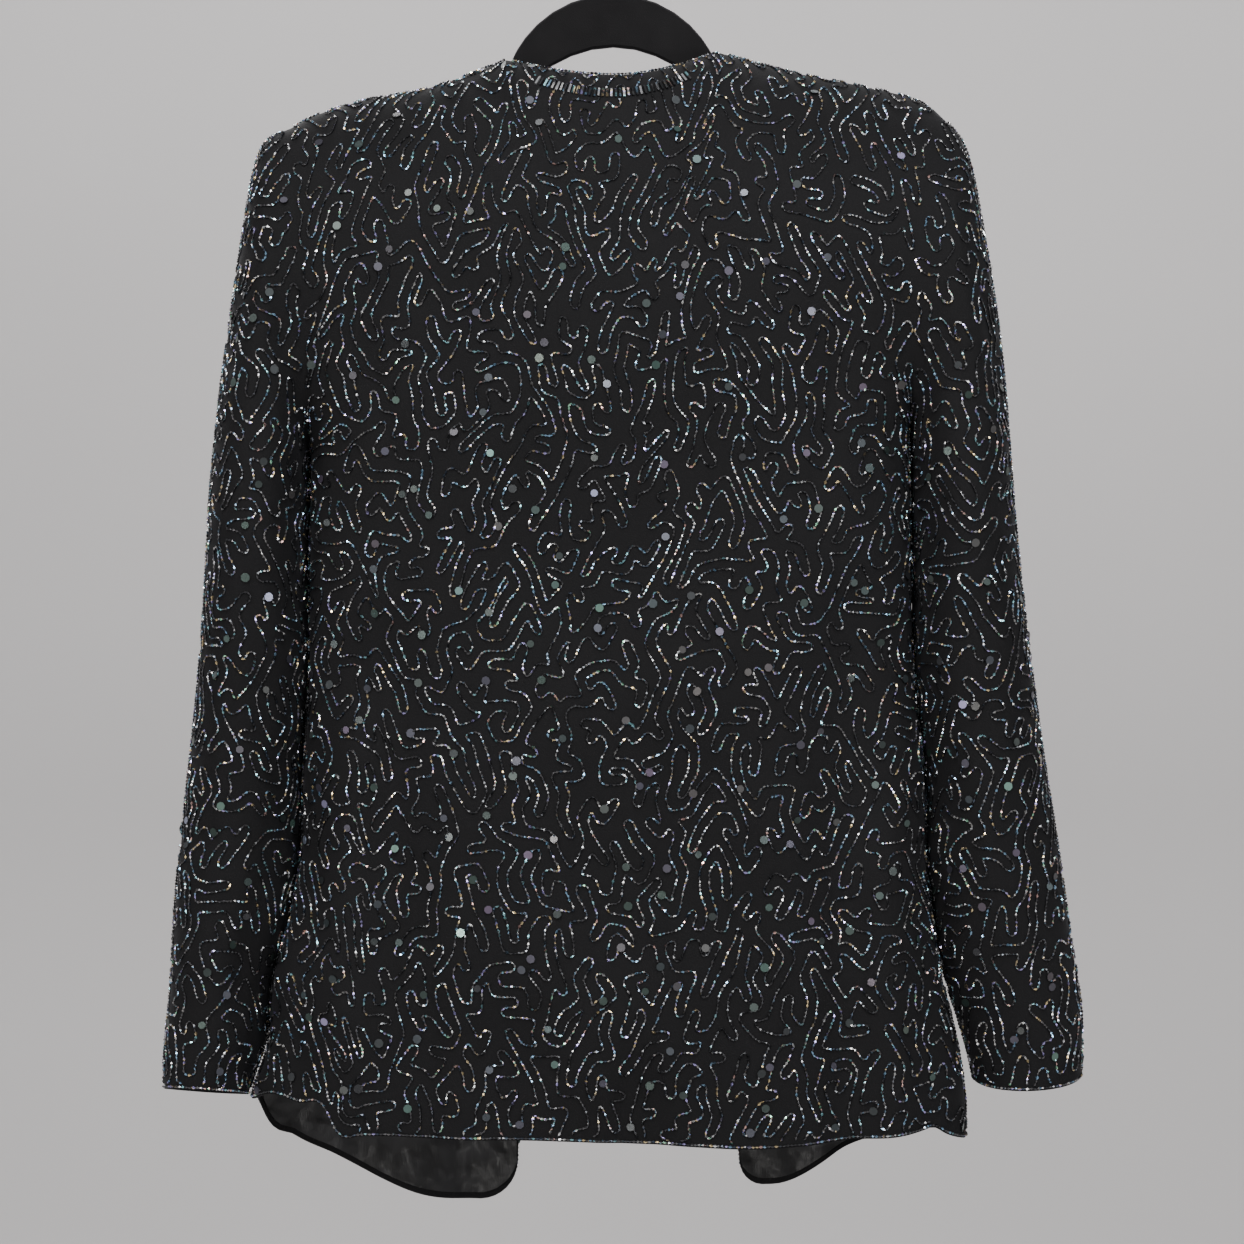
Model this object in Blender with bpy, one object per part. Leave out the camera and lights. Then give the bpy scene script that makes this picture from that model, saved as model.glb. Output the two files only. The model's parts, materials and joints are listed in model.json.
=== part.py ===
"""Evening jacket of beaded cloth with a satin lining, hung on a flat velvet hanger.

The origin is the inner top of the hanger's hook, where a rail carries it. +Z is up, the front of the jacket
faces -Y and the wearer's left is +X. All lengths are in metres.

The body is one surface, worked out row by row from the hem to the shoulders. The back is its +Y half and the
fronts are its -Y half. A piece's wall is the surface's own points moved inwards, so the lining lies evenly
under the cloth, and pieces that meet at a seam share the direction in which their walls are cut.
"""

import math

import bpy
import numpy as np

BACK = 1
FRONT = -1
LEFT = 1
RIGHT = -1
SIDES = {"left": LEFT, "right": RIGHT}

# Cloth. The bands are the shares of the skirt's height, of a front's width and of a sleeve's last ring that
# the lining leaves free along the hem, the front edge and the cuff.
CLOTH = 0.0012
LINING = 0.0010
SEAM_GAP = 0.0003
HEM_BAND = 0.009
EDGE_BAND = 0.022
CUFF_BAND = 0.15

# Neck and shoulders. A shoulder seam runs from the neck point to the sleeve, left then right.
NECK_BACK_Y = 0.030
NECK_BACK_Z = -0.1045
NECK_SHARE = 0.3
SHOULDER = {
    LEFT: {
        "x": (0.0715, 0.1192, 0.1675, 0.2028, 0.2090),
        "z": (-0.0897, -0.1070, -0.1166, -0.1294, -0.1330),
    },
    RIGHT: {
        "x": (0.0695, 0.1220, 0.1670, 0.1998, 0.2090),
        "z": (-0.0844, -0.0981, -0.1072, -0.1164, -0.1215),
    },
}

# Armholes. Half way down, the seam leans in towards the middle of the back or of the front.
ARMHOLE_DROP = 0.210
ARMHOLE_DEPTH = 0.055
MIDWAY_X = {(BACK, LEFT): 0.1965, (BACK, RIGHT): 0.1895, (FRONT, LEFT): 0.1880, (FRONT, RIGHT): 0.1850}
MIDWAY_CENTRE_Z = -0.2350
MIDWAY_DEPTH = {BACK: 0.0620, FRONT: 0.0580}
MIDWAY_EXPONENT = 2.6
UNDERARM_CENTRE_Z = -0.3400

# Plan of the body below the armholes. Each row is a height of the side seam.
LEVELS = {
    "z": (-0.800, -0.765, -0.730, -0.690, -0.650, -0.610, -0.560, -0.500, -0.420, -0.330),
    "exponent": (2.8, 2.8, 2.8, 2.9, 3.0, 3.2, 3.2, 3.2, 3.2, 3.2),
}
HALF_WIDTH = {
    LEFT: (0.2375, 0.2355, 0.2245, 0.2215, 0.2110, 0.2030, 0.2015, 0.1978, 0.1972, 0.1960),
    RIGHT: (0.2295, 0.2290, 0.2240, 0.2145, 0.2080, 0.2030, 0.2025, 0.1957, 0.1935, 0.1920),
}
HALF_DEPTH = {
    BACK: (0.0590, 0.0600, 0.0625, 0.0640, 0.0630, 0.0610, 0.0600, 0.0600, 0.0610, 0.0620),
    FRONT: (0.0560, 0.0560, 0.0550, 0.0540, 0.0530, 0.0520, 0.0520, 0.0520, 0.0530, 0.0540),
}

# Hems from the side seam to the middle. A front ends in a rounded corner at its free edge.
HEM = {
    (BACK, LEFT): {
        "x": (0.0, 0.1147, 0.1595, 0.1745, 0.1835, 0.2001, 0.2209, 0.2355),
        "z": (-0.7838, -0.7820, -0.7809, -0.7795, -0.7632, -0.7620, -0.7580, -0.7650),
    },
    (BACK, RIGHT): {
        "x": (0.0, 0.0548, 0.0794, 0.1529, 0.1977, 0.2041, 0.2147, 0.2290),
        "z": (-0.7838, -0.7863, -0.7882, -0.7842, -0.7797, -0.7782, -0.7841, -0.7900),
    },
    (FRONT, LEFT): {
        "x": (0.0900, 0.1168, 0.1539, 0.1889, 0.2131, 0.2304, 0.2355),
        "z": (-0.8453, -0.8433, -0.8298, -0.8106, -0.7971, -0.7815, -0.7650),
    },
    (FRONT, RIGHT): {
        "x": (0.0980, 0.1140, 0.1255, 0.1390, 0.1551, 0.1900, 0.2290),
        "z": (-0.8350, -0.8338, -0.8298, -0.8217, -0.8083, -0.7960, -0.7900),
    },
}
CORNER_RADIUS = {LEFT: 0.026, RIGHT: 0.016}
HEM_REACH = 8.0

# Free edges of the fronts, by height
FRONT_EDGE = {
    LEFT: {"z": (-0.800, -0.650, -0.500, -0.340, -0.235), "x": (0.0663, 0.0600, 0.0540, 0.0500, 0.0490)},
    RIGHT: {"z": (-0.800, -0.650, -0.500, -0.340, -0.235), "x": (0.0858, 0.0740, 0.0630, 0.0540, 0.0500)},
}

# Largest folds: where each starts and ends on the cloth, how wide it is, and how far it stands out or in.
FOLD_COLUMNS = ("x_top", "z_top", "x_low", "z_low", "width", "out")
FOLDS = {
    BACK: (
        (-0.146, -0.400, -0.150, -0.850, 0.022, -0.0065),
        (-0.108, -0.540, -0.112, -0.730, 0.022, 0.0035),
        (-0.172, -0.560, -0.178, -0.850, 0.018, 0.0055),
        (0.166, -0.480, 0.172, -0.850, 0.020, 0.0050),
        (0.138, -0.430, 0.142, -0.850, 0.020, -0.0050),
        (-0.010, -0.660, -0.072, -0.850, 0.024, 0.0035),
        (0.060, -0.680, 0.050, -0.850, 0.026, -0.0030),
    ),
    FRONT: (
        (0.125, -0.330, 0.135, -0.900, 0.024, -0.0060),
        (0.092, -0.420, 0.098, -0.900, 0.020, 0.0040),
        (-0.118, -0.340, -0.140, -0.900, 0.024, 0.0060),
        (-0.150, -0.400, -0.165, -0.900, 0.022, -0.0050),
    ),
}
FOLD_FADE = 0.070

# Sleeves, ring by ring from the armhole to the cuff. The outer line is the sleeve's silhouette from behind.
# The inner line lies beside the body's side seam, further from it by away. Depth is half the ring's depth,
# and tilt is how far its back edge is higher than its middle.
SLEEVE_CLEAR = 0.0018
SLEEVE_COLUMNS = ("outer_x", "outer_z", "inner_z", "away", "depth", "tilt")
SLEEVE_RINGS = {
    LEFT: (
        (0.2090, -0.1330, -0.3430, 0.0, 0.0550, 0.0),
        (0.2225, -0.1392, -0.3465, 0.0, 0.0565, 0.0),
        (0.2305, -0.1505, -0.3500, 0.0, 0.0580, 0.0),
        (0.2355, -0.1710, -0.3540, 0.0, 0.0595, 0.0),
        (0.2405, -0.2030, -0.3600, 0.0, 0.0610, 0.0),
        (0.2485, -0.2560, -0.3700, 0.0, 0.0620, 0.0),
        (0.2560, -0.3120, -0.3900, 0.0, 0.0620, 0.0),
        (0.2623, -0.3760, -0.4270, 0.0, 0.0610, 0.0),
        (0.2660, -0.4420, -0.4770, 0.0, 0.0580, 0.0),
        (0.2714, -0.5066, -0.5270, 0.0, 0.0550, 0.0),
        (0.2786, -0.5719, -0.5800, 0.0, 0.0510, 0.0),
        (0.2839, -0.6216, -0.6270, 0.0, 0.0490, 0.0),
        (0.2866, -0.6600, -0.6640, 0.0, 0.0475, 0.001),
        (0.2884, -0.6942, -0.6970, 0.0, 0.0465, 0.003),
        (0.2920, -0.7340, -0.7360, 0.002, 0.0450, 0.006),
        (0.2924, -0.7608, -0.7641, 0.002, 0.0440, 0.009),
    ),
    RIGHT: (
        (0.2090, -0.1215, -0.3315, 0.0, 0.0550, 0.0),
        (0.2200, -0.1325, -0.3350, 0.0, 0.0560, 0.0),
        (0.2275, -0.1430, -0.3385, 0.0, 0.0570, 0.0),
        (0.2330, -0.1600, -0.3425, 0.0, 0.0580, 0.0),
        (0.2392, -0.1930, -0.3490, 0.0, 0.0590, 0.0),
        (0.2468, -0.2380, -0.3590, 0.0, 0.0595, 0.0),
        (0.2530, -0.2860, -0.3750, 0.0, 0.0595, 0.0),
        (0.2575, -0.3400, -0.4060, 0.0, 0.0590, 0.0),
        (0.2622, -0.3980, -0.4470, 0.0, 0.0570, 0.0),
        (0.2700, -0.4680, -0.5000, 0.0, 0.0540, 0.0),
        (0.2795, -0.5380, -0.5560, 0.0, 0.0500, 0.0),
        (0.2895, -0.6000, -0.6110, 0.0, 0.0460, 0.0),
        (0.2972, -0.6536, -0.6590, 0.0, 0.0430, 0.0),
        (0.3035, -0.6942, -0.6970, 0.002, 0.0400, 0.0),
        (0.3057, -0.7230, -0.7260, 0.004, 0.0375, -0.002),
        (0.3050, -0.7504, -0.7545, 0.006, 0.0360, -0.003),
    ),
}
SLEEVE_LEAN_RINGS = 4.0

# Hanger: a flat board whose arch shows above the neck, and arms that lie under the shoulder seams.
HANGER_THICKNESS = 0.0052
HANGER_HALF_SPAN = 0.198
ARCH_TOP_Z = -0.0455
ARCH_RADIUS = 0.0725
ARCH_FOOT = 0.0640
UNDER_ARCH_Z = -0.0800
UNDER_ARCH_CURVE = 7.5
RIDGE_DROP = 0.0008
ARM_TIP_DEPTH = 0.012
ARM_ROOT_DEPTH = 0.022

# Hook: bent wire with a collar on the arch. Its inner top is the origin.
WIRE_RADIUS = 0.00175
HOOK_INNER_RADIUS = 0.018
COLLAR_RADIUS = 0.0045
COLLAR_HEIGHT = 0.0025
HOOK_TIP_ANGLE = 205.0
HOOK_JOIN_ANGLE = -48.0

# How finely the pieces are divided
SKIRT_ROWS = 11
QUARTER_ROWS = 4
HALF_COLUMNS = 10
ARC_SAMPLES = 240
HOOK_SIDES = 8


def smooth(x, xs, ys):
    """Value at x of the smooth curve through the points of two short columns, xs rising."""
    xs = np.asarray(xs, float)
    ys = np.asarray(ys, float)
    steps = np.diff(xs)
    rises = np.diff(ys) / steps
    slopes = np.empty_like(ys)
    slopes[0] = rises[0]
    slopes[-1] = rises[-1]
    slopes[1:-1] = (rises[:-1] * steps[1:] + rises[1:] * steps[:-1]) / (steps[:-1] + steps[1:])
    x = np.clip(x, xs[0], xs[-1])
    k = np.clip(np.searchsorted(xs, x, side="right") - 1, 0, len(steps) - 1)
    h = steps[k]
    u = (x - xs[k]) / h
    value = ys[k] * (1 + 2 * u) * (1 - u) ** 2 + ys[k + 1] * u * u * (3 - 2 * u)
    return value + h * u * (1 - u) * (slopes[k] * (1 - u) - slopes[k + 1] * u)


def half_width(side, z):
    """Distance of the side seam from the middle, at height z."""
    return smooth(z, LEVELS["z"], HALF_WIDTH[side])


def shoulder_z(side, x):
    """Height of the shoulder seam at distance x from the middle."""
    return smooth(x, SHOULDER[side]["x"], SHOULDER[side]["z"])


def resample(points, s):
    """Points at fractions s of a fine line's length."""
    lengths = np.linalg.norm(np.diff(points, axis=0), axis=1)
    at = np.concatenate([[0.0], np.cumsum(lengths)])
    at /= at[-1]
    return np.stack([np.interp(s, at, points[:, i]) for i in range(points.shape[1])], axis=1)


def plan_line(width, depth, exponent, x_start, x_end):
    """Fine line of x and y along a boxy oval, from x_start out to x_end."""
    start = math.acos(min(1.0, x_start / width) ** (exponent / 2))
    end = math.acos(min(1.0, x_end / width) ** (exponent / 2))
    angle = np.linspace(start, end, ARC_SAMPLES)
    x = width * np.abs(np.cos(angle)) ** (2 / exponent)
    y = depth * np.abs(np.sin(angle)) ** (2 / exponent)
    return np.stack([x, y], axis=1)


def inner_x(half, side, z):
    """Where a row starts: the middle of the back, or the free edge of a front."""
    if half == BACK:
        return 0.0
    return float(smooth(z, FRONT_EDGE[side]["z"], FRONT_EDGE[side]["x"]))


def level_line(half, side, z):
    """Fine line of the body's plan at one height below the armholes."""
    width = float(half_width(side, z))
    depth = float(smooth(z, LEVELS["z"], HALF_DEPTH[half]))
    exponent = float(smooth(z, LEVELS["z"], LEVELS["exponent"]))
    return plan_line(width, depth, exponent, inner_x(half, side, z), width)


def hem_row(half, side, s):
    """Points of the hem, from the middle or the front's corner to the side seam."""
    table = HEM[half, side]
    side_z = table["z"][-1]
    line = level_line(half, side, side_z)
    if half == BACK:
        z = smooth(line[:, 0], table["x"], table["z"])
        return resample(np.column_stack([line, z]), s)
    edge = inner_x(half, side, side_z)
    radius = CORNER_RADIUS[side]
    turn = np.linspace(0.0, math.pi / 2, 24)[:-1]
    corner_x = edge + radius * (1 - np.cos(turn))
    corner_z = smooth(corner_x, table["x"], table["z"]) + radius * (1 - np.sin(turn))
    corner_y = np.interp(corner_x, line[:, 0], line[:, 1])
    line = line[line[:, 0] > edge + radius]
    z = smooth(line[:, 0], table["x"], table["z"])
    corner = np.column_stack([corner_x, corner_y, corner_z])
    return resample(np.vstack([corner, np.column_stack([line, z])]), s)


def underarm_z(side):
    """Height of the lowest point of an armhole."""
    return float(SHOULDER[side]["z"][-1]) - ARMHOLE_DROP


def underarm_row(half, side, s):
    """Row that ends under the arm."""
    z_end = underarm_z(side)
    row = resample(level_line(half, side, z_end), s)
    return np.column_stack([row, UNDERARM_CENTRE_Z + (z_end - UNDERARM_CENTRE_Z) * s**2])


def midway_row(half, side, s):
    """Row that ends half way down the armhole."""
    z_end = float(SHOULDER[side]["z"][-1]) - ARMHOLE_DROP / 2
    end_x = MIDWAY_X[half, side]
    depth = MIDWAY_DEPTH[half]
    width = end_x / (1 - (ARMHOLE_DEPTH / depth) ** MIDWAY_EXPONENT) ** (1 / MIDWAY_EXPONENT)
    row = resample(plan_line(width, depth, MIDWAY_EXPONENT, inner_x(half, side, z_end), end_x), s)
    return np.column_stack([row, MIDWAY_CENTRE_Z + (z_end - MIDWAY_CENTRE_Z) * s**2])


def top_row(half, side, s):
    """Top edge: the back's neck and shoulder seam, or a front's shoulder seam."""
    neck_x = SHOULDER[side]["x"][0]
    tip_x = SHOULDER[side]["x"][-1]
    if half == FRONT:
        x = neck_x + (tip_x - neck_x) * s
        return np.column_stack([x, np.zeros_like(s), shoulder_z(side, x)])
    across = np.clip(s / NECK_SHARE, 0.0, 1.0) * math.pi / 2
    along = np.clip((s - NECK_SHARE) / (1 - NECK_SHARE), 0.0, 1.0)
    x = neck_x * np.sin(across) + (tip_x - neck_x) * along
    y = NECK_BACK_Y * np.cos(across)
    neck_z = NECK_BACK_Z + (SHOULDER[side]["z"][0] - NECK_BACK_Z) * np.sin(across) ** 2
    z = np.where(s < NECK_SHARE, neck_z, shoulder_z(side, x))
    return np.column_stack([x, y, z])


def armhole_x(half, side, angle):
    """Distance of the armhole seam from the middle. Angle 0 is the shoulder and half a turn the underarm."""
    tip_x = SHOULDER[side]["x"][-1]
    under_x = float(half_width(side, underarm_z(side)))
    cosine = np.cos(angle)
    end_x = np.where(cosine > 0, tip_x, under_x)
    return end_x + (MIDWAY_X[half, side] - end_x) * (1 - np.abs(cosine))


def fold_depth(half, x, z):
    """How far the largest folds move the cloth outwards at x and z."""
    out = np.zeros_like(x)
    for row in FOLDS[half]:
        fold = dict(zip(FOLD_COLUMNS, row))
        down = (fold["z_top"] - z) / (fold["z_top"] - fold["z_low"])
        middle = fold["x_top"] + (fold["x_low"] - fold["x_top"]) * down
        across = np.exp(-(((x - middle) / fold["width"]) ** 2))
        start = np.clip((fold["z_top"] - z) / FOLD_FADE, 0.0, 1.0)
        end = np.clip((z - fold["z_low"]) / FOLD_FADE, 0.0, 1.0)
        out += fold["out"] * across * start**2 * (3 - 2 * start) * end**2 * (3 - 2 * end)
    return out


def body_row(half, side, s, t):
    """Points of one row of the body at fractions s of its length, from the middle to the side.

    t is 0 at the hem, 1 under the arm, 2 half way up the armhole and 3 at the top edge.
    """
    if t <= 1:
        hem = hem_row(half, side, s)
        top = underarm_row(half, side, s)
        z = hem[:, 2] + (top[:, 2] - hem[:, 2]) * t
        side_z = hem[-1, 2] + (top[-1, 2] - hem[-1, 2]) * t
        row = resample(level_line(half, side, side_z), s)
        plain_hem = resample(level_line(half, side, HEM[half, side]["z"][-1]), s)
        row += (hem[:, :2] - plain_hem) * (1 - t) ** HEM_REACH
        points = np.column_stack([row, z])
    elif t <= 2:
        low = underarm_row(half, side, s)
        high = midway_row(half, side, s)
        turn = (t - 1) * math.pi / 2
        near_edge = s**4
        up = (t - 1) * (1 - near_edge) + (1 - math.cos(turn)) * near_edge
        outwards = (t - 1) * (1 - near_edge) + math.sin(turn) * near_edge
        share = np.column_stack([up, outwards, up])
        points = low + (high - low) * share
    else:
        low = midway_row(half, side, s)
        high = top_row(half, side, s)
        turn = (3 - t) * math.pi / 2
        share = np.array([1 - math.cos(turn), math.sin(turn), 1 - math.cos(turn)])
        points = high + (low - high) * share
    points[:, 0] *= side
    free = np.clip((1 - s) * 6, 0.0, 1.0) * min(1.0, max(0.0, 2.6 - t))
    points[:, 1] += fold_depth(half, points[:, 0], points[:, 2]) * free
    points[:, 1] *= half
    return points


def sleeve_ring(side, w, angle):
    """Points of one ring of a sleeve. w counts rings from the armhole; angle 0 is its outer line, a quarter
    turn further is its back, and half a turn is its inner line."""
    rows = np.array(SLEEVE_RINGS[side])
    ring = {name: float(smooth(w, range(len(rows)), rows[:, i])) for i, name in enumerate(SLEEVE_COLUMNS)}
    clear = SLEEVE_CLEAR * min(1.0, w) + ring["away"]
    outer = np.array([ring["outer_x"], ring["outer_z"]])
    inner = np.array([float(half_width(side, ring["inner_z"])) + clear, ring["inner_z"]])
    middle = (outer + inner) / 2
    reach = (outer - inner) / 2
    cosine = np.cos(angle)
    sine = np.sin(angle)
    tip_x = SHOULDER[side]["x"][-1]
    under_x = float(half_width(side, underarm_z(side)))
    seam_x = np.where(sine > 0, armhole_x(BACK, side, angle), armhole_x(FRONT, side, angle))
    lean = seam_x - (tip_x + under_x) / 2 - (tip_x - under_x) / 2 * cosine
    x = middle[0] + reach[0] * cosine + lean * max(0.0, 1 - w / SLEEVE_LEAN_RINGS) ** 2
    y = ring["depth"] * sine
    z = middle[1] + reach[1] * cosine + ring["tilt"] * sine
    return np.column_stack([side * x, y, z])


def unit(vectors):
    """Vectors of length 1 in the same directions."""
    return vectors / np.maximum(np.linalg.norm(vectors, axis=-1, keepdims=True), 1e-12)


def grid_normals(points):
    """Normals of a grid of points, from its neighbours along both ways."""
    return unit(np.cross(np.gradient(points, axis=0), np.gradient(points, axis=1)))


def seam_direction(one, other, along):
    """Direction in which two pieces' walls are cut where they meet, from both normals and the seam's line."""
    both = unit(one + other)
    along = unit(along)
    return unit(both - along * (both * along).sum(-1, keepdims=True))


def row_heights():
    """Values of t for the body's rows, from the hem to the top edge."""
    skirt = np.linspace(0.0, 1.0, SKIRT_ROWS)
    armhole = np.linspace(1.0, 3.0, 2 * QUARTER_ROWS + 1)
    return np.concatenate([[0.0, HEM_BAND], skirt[1:], armhole[1:]])


def body_grid(half, side):
    """Grid of one half panel, rows from the hem up and columns from the middle to the side."""
    s = np.linspace(0.0, 1.0, HALF_COLUMNS + 1)
    if half == FRONT:
        s = np.concatenate([[0.0, EDGE_BAND], s[1:]])
    return np.array([body_row(half, side, s, t) for t in row_heights()])


def ring_angles():
    """Angles of a sleeve's points. They meet the rows of the back and of the front at the armhole."""
    return np.arange(4 * QUARTER_ROWS) * math.pi / (2 * QUARTER_ROWS)


def sleeve_grid(side):
    """Closed grid of a sleeve, one row for each ring from the armhole to the cuff."""
    last = len(SLEEVE_RINGS[side]) - 1
    return np.array([sleeve_ring(side, w, ring_angles()) for w in (*range(last), last - CUFF_BAND, last)])


def outward_body(half, side, grid):
    """Outward normals of a half panel. Along the side and shoulder seams they stay square to Y."""
    normals = grid_normals(grid) * half * side
    normals[: SKIRT_ROWS + 1, -1, 1] = 0.0
    on_seam = np.abs(grid[-1, :, 1]) < 1e-6
    normals[-1, on_seam, 1] = 0.0
    return unit(normals)


def outward_sleeve(side, grid):
    """Outward normals of a sleeve."""
    wrapped = np.concatenate([grid[:, -1:], grid, grid[:, :1]], axis=1)
    normals = grid_normals(wrapped)[:, 1:-1]
    centre = grid.mean(axis=1, keepdims=True)
    facing = np.sign((normals * (grid - centre)).sum(-1, keepdims=True))
    return normals * facing


class Armhole:
    """Cut directions and gap directions all round one armhole, in the order of the sleeve's angles.

    Over the shoulder both walls are cut along the line between their normals. Under the arm the seam is an
    inner corner, and each wall keeps its own direction.
    """

    def __init__(self, side, panels, sleeve):
        ring = sleeve[0]
        count = len(ring)
        half_count = count // 2
        self.body = np.zeros_like(ring)
        for half in (BACK, FRONT):
            edge = outward_body(half, side, panels[half])[SKIRT_ROWS:, -1]
            for step in range(half_count + 1):
                self.body[(half * step) % count] += edge[half_count - step]
        self.body = unit(self.body)
        along = np.roll(ring, -1, axis=0) - np.roll(ring, 1, axis=0)
        own = outward_sleeve(side, sleeve)[0]
        both = seam_direction(self.body, own, along)
        upper = (np.cos(ring_angles()) > -0.1)[:, None]
        self.sleeve = np.where(upper, both, own)
        self.body = np.where(upper, both, self.body)
        for outward in (self.sleeve, self.body):
            outward[[0, half_count], 1] = 0.0
        self.sleeve = unit(self.sleeve)
        self.body = unit(self.body)
        gap = unit(np.cross(along, both))
        self.gap = gap * np.sign((gap * (sleeve[1] - ring)).sum(-1, keepdims=True))

    def edge(self, half):
        """Cut directions and gap directions along a panel's edge, from under the arm to the shoulder."""
        half_count = len(self.body) // 2
        order = [(half * step) % len(self.body) for step in range(half_count, -1, -1)]
        return self.body[order], self.gap[order]


def open_seams(half, grid, armhole):
    """Moves a half panel's seam edges back by half the seam gap, and gives its grid and its normals."""
    side = int(np.sign(grid[-1, -1, 0]))
    normals = outward_body(half, side, grid)
    grid = grid.copy()
    cut, gap = armhole.edge(half)
    normals[SKIRT_ROWS:, -1] = cut
    grid[SKIRT_ROWS:, -1] -= gap * SEAM_GAP / 2
    grid[: SKIRT_ROWS + 1, -1, 1] = half * SEAM_GAP / 2
    on_seam = np.abs(grid[-1, :, 1]) < SEAM_GAP
    grid[-1, on_seam, 1] = half * SEAM_GAP / 2
    return grid, normals


def sheet_faces(rows, columns, closed):
    """Triangles of a grid. Every wall splits its cells along the same diagonal."""
    faces = []
    for i in range(rows - 1):
        for j in range(columns if closed else columns - 1):
            k = (j + 1) % columns
            a = i * columns + j
            b = i * columns + k
            c = (i + 1) * columns + k
            d = (i + 1) * columns + j
            faces.append((a, b, c))
            faces.append((a, c, d))
    return faces


def border(rows, columns, closed):
    """Edge loops of a grid, in the direction in which its triangles pass them."""
    if closed:
        first = list(range(columns))
        last = [(rows - 1) * columns + j for j in range(columns)][::-1]
        return [first, last]
    bottom = [j for j in range(columns)]
    right = [i * columns + columns - 1 for i in range(1, rows)]
    top = [(rows - 1) * columns + j for j in range(columns - 2, -1, -1)]
    left = [i * columns for i in range(rows - 2, 0, -1)]
    return [bottom + right + top + left]


def add_object(name, points, faces, material):
    """Makes one named mesh object whose faces point outwards."""
    mesh = bpy.data.meshes.new(name)
    mesh.from_pydata([tuple(p) for p in points], [], faces)
    mesh.materials.append(material)
    mesh.shade_smooth()
    mesh.set_sharp_from_angle(angle=math.radians(40))
    thing = bpy.data.objects.new(name, mesh)
    bpy.context.collection.objects.link(thing)
    return thing


def signed_volume(points, faces):
    """Volume of a closed mesh of triangles, negative if its faces point inwards."""
    a, b, c = (points[[face[i] for face in faces]] for i in range(3))
    return float((a * np.cross(b, c)).sum() / 6)


def wall(name, grid, normals, start, thickness, material, closed=False):
    """Cloth wall from start to start + thickness under a grid of points, closed at its edges."""
    rows, columns = grid.shape[:2]
    count = rows * columns
    outer = (grid - normals * start).reshape(-1, 3)
    inner = (grid - normals * (start + thickness)).reshape(-1, 3)
    points = np.vstack([outer, inner])
    faces = sheet_faces(rows, columns, closed)
    faces += [(c + count, b + count, a + count) for a, b, c in faces]
    for loop in border(rows, columns, closed):
        for a, b in zip(loop, loop[1:] + loop[:1]):
            faces.append((b, a, a + count))
            faces.append((b, a + count, b + count))
    if signed_volume(points, faces) < 0:
        faces = [face[::-1] for face in faces]
    return add_object(name, points, faces, material)


def make_material(name, colour, roughness, metallic=0.0):
    """Plain material with a Principled shader."""
    material = bpy.data.materials.new(name)
    material.use_nodes = True
    shader = material.node_tree.nodes["Principled BSDF"]
    shader.inputs["Base Color"].default_value = (*colour, 1.0)
    shader.inputs["Roughness"].default_value = roughness
    shader.inputs["Metallic"].default_value = metallic
    return material


def ring_stack(name, rings, material):
    """Closed solid through rings of equal count, capped at both ends."""
    rings = np.array(rings)
    count, sides = rings.shape[:2]
    points = np.vstack([rings.reshape(-1, 3), rings[0].mean(axis=0), rings[-1].mean(axis=0)])
    faces = sheet_faces(count, sides, True)
    first = count * sides
    last = first + 1
    end = (count - 1) * sides
    for j in range(sides):
        k = (j + 1) % sides
        faces.append((first, k, j))
        faces.append((last, end + j, end + k))
    if signed_volume(points, faces) < 0:
        faces = [face[::-1] for face in faces]
    return add_object(name, points, faces, material)


def seam_floor(side, x):
    """Height of the straight stretches that the shoulder seam is built of, the lower of back and front."""
    s = np.linspace(0.0, 1.0, HALF_COLUMNS + 1)
    rows = [top_row(half, side, s)[s >= (NECK_SHARE if half == BACK else 0.0)] for half in (BACK, FRONT)]
    return min(float(np.interp(x, row[:, 0], row[:, 2])) for row in rows)


def arm_edge(x):
    """Height of an arm's upper edge at x, just under the lining of the shoulder seam."""
    side = LEFT if x >= 0 else RIGHT
    neck_x = SHOULDER[side]["x"][0]
    near = [seam_floor(side, max(abs(x), neck_x) + step) for step in (0.0, 0.006, 0.012)]
    slope = min(near[1] - near[0], near[2] - near[1]) / 0.006
    seam = near[0] + slope * min(0.0, abs(x) - neck_x)
    return seam - (CLOTH + LINING + 2 * SEAM_GAP) * math.hypot(1.0, slope) - RIDGE_DROP


def hanger_edges(x):
    """Heights of the hanger's upper and lower edge at x."""
    reach = abs(x)
    neck_x = SHOULDER[LEFT if x >= 0 else RIGHT]["x"][0]
    arm = arm_edge(x)
    arch = ARCH_TOP_Z - ARCH_RADIUS + math.sqrt(max(0.0, ARCH_RADIUS**2 - reach**2))
    upper = arch if reach < ARCH_FOOT else max(arch, arm) if reach < neck_x else arm
    along = np.clip((reach - neck_x) / (HANGER_HALF_SPAN - neck_x), 0.0, 1.0)
    arm_low = arm - (ARM_ROOT_DEPTH + (ARM_TIP_DEPTH - ARM_ROOT_DEPTH) * along)
    arch_low = UNDER_ARCH_Z - UNDER_ARCH_CURVE * reach**2
    lower = max(arch_low, arm_low) if reach < neck_x else arm_low
    return upper, lower


def arch_gap(x):
    """How far the arch's outer edge stands above the arm's line at x, past the foot of the arch."""
    upper, lower = hanger_edges(x)
    return upper - arm_edge(x) - 1e-6


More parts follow.
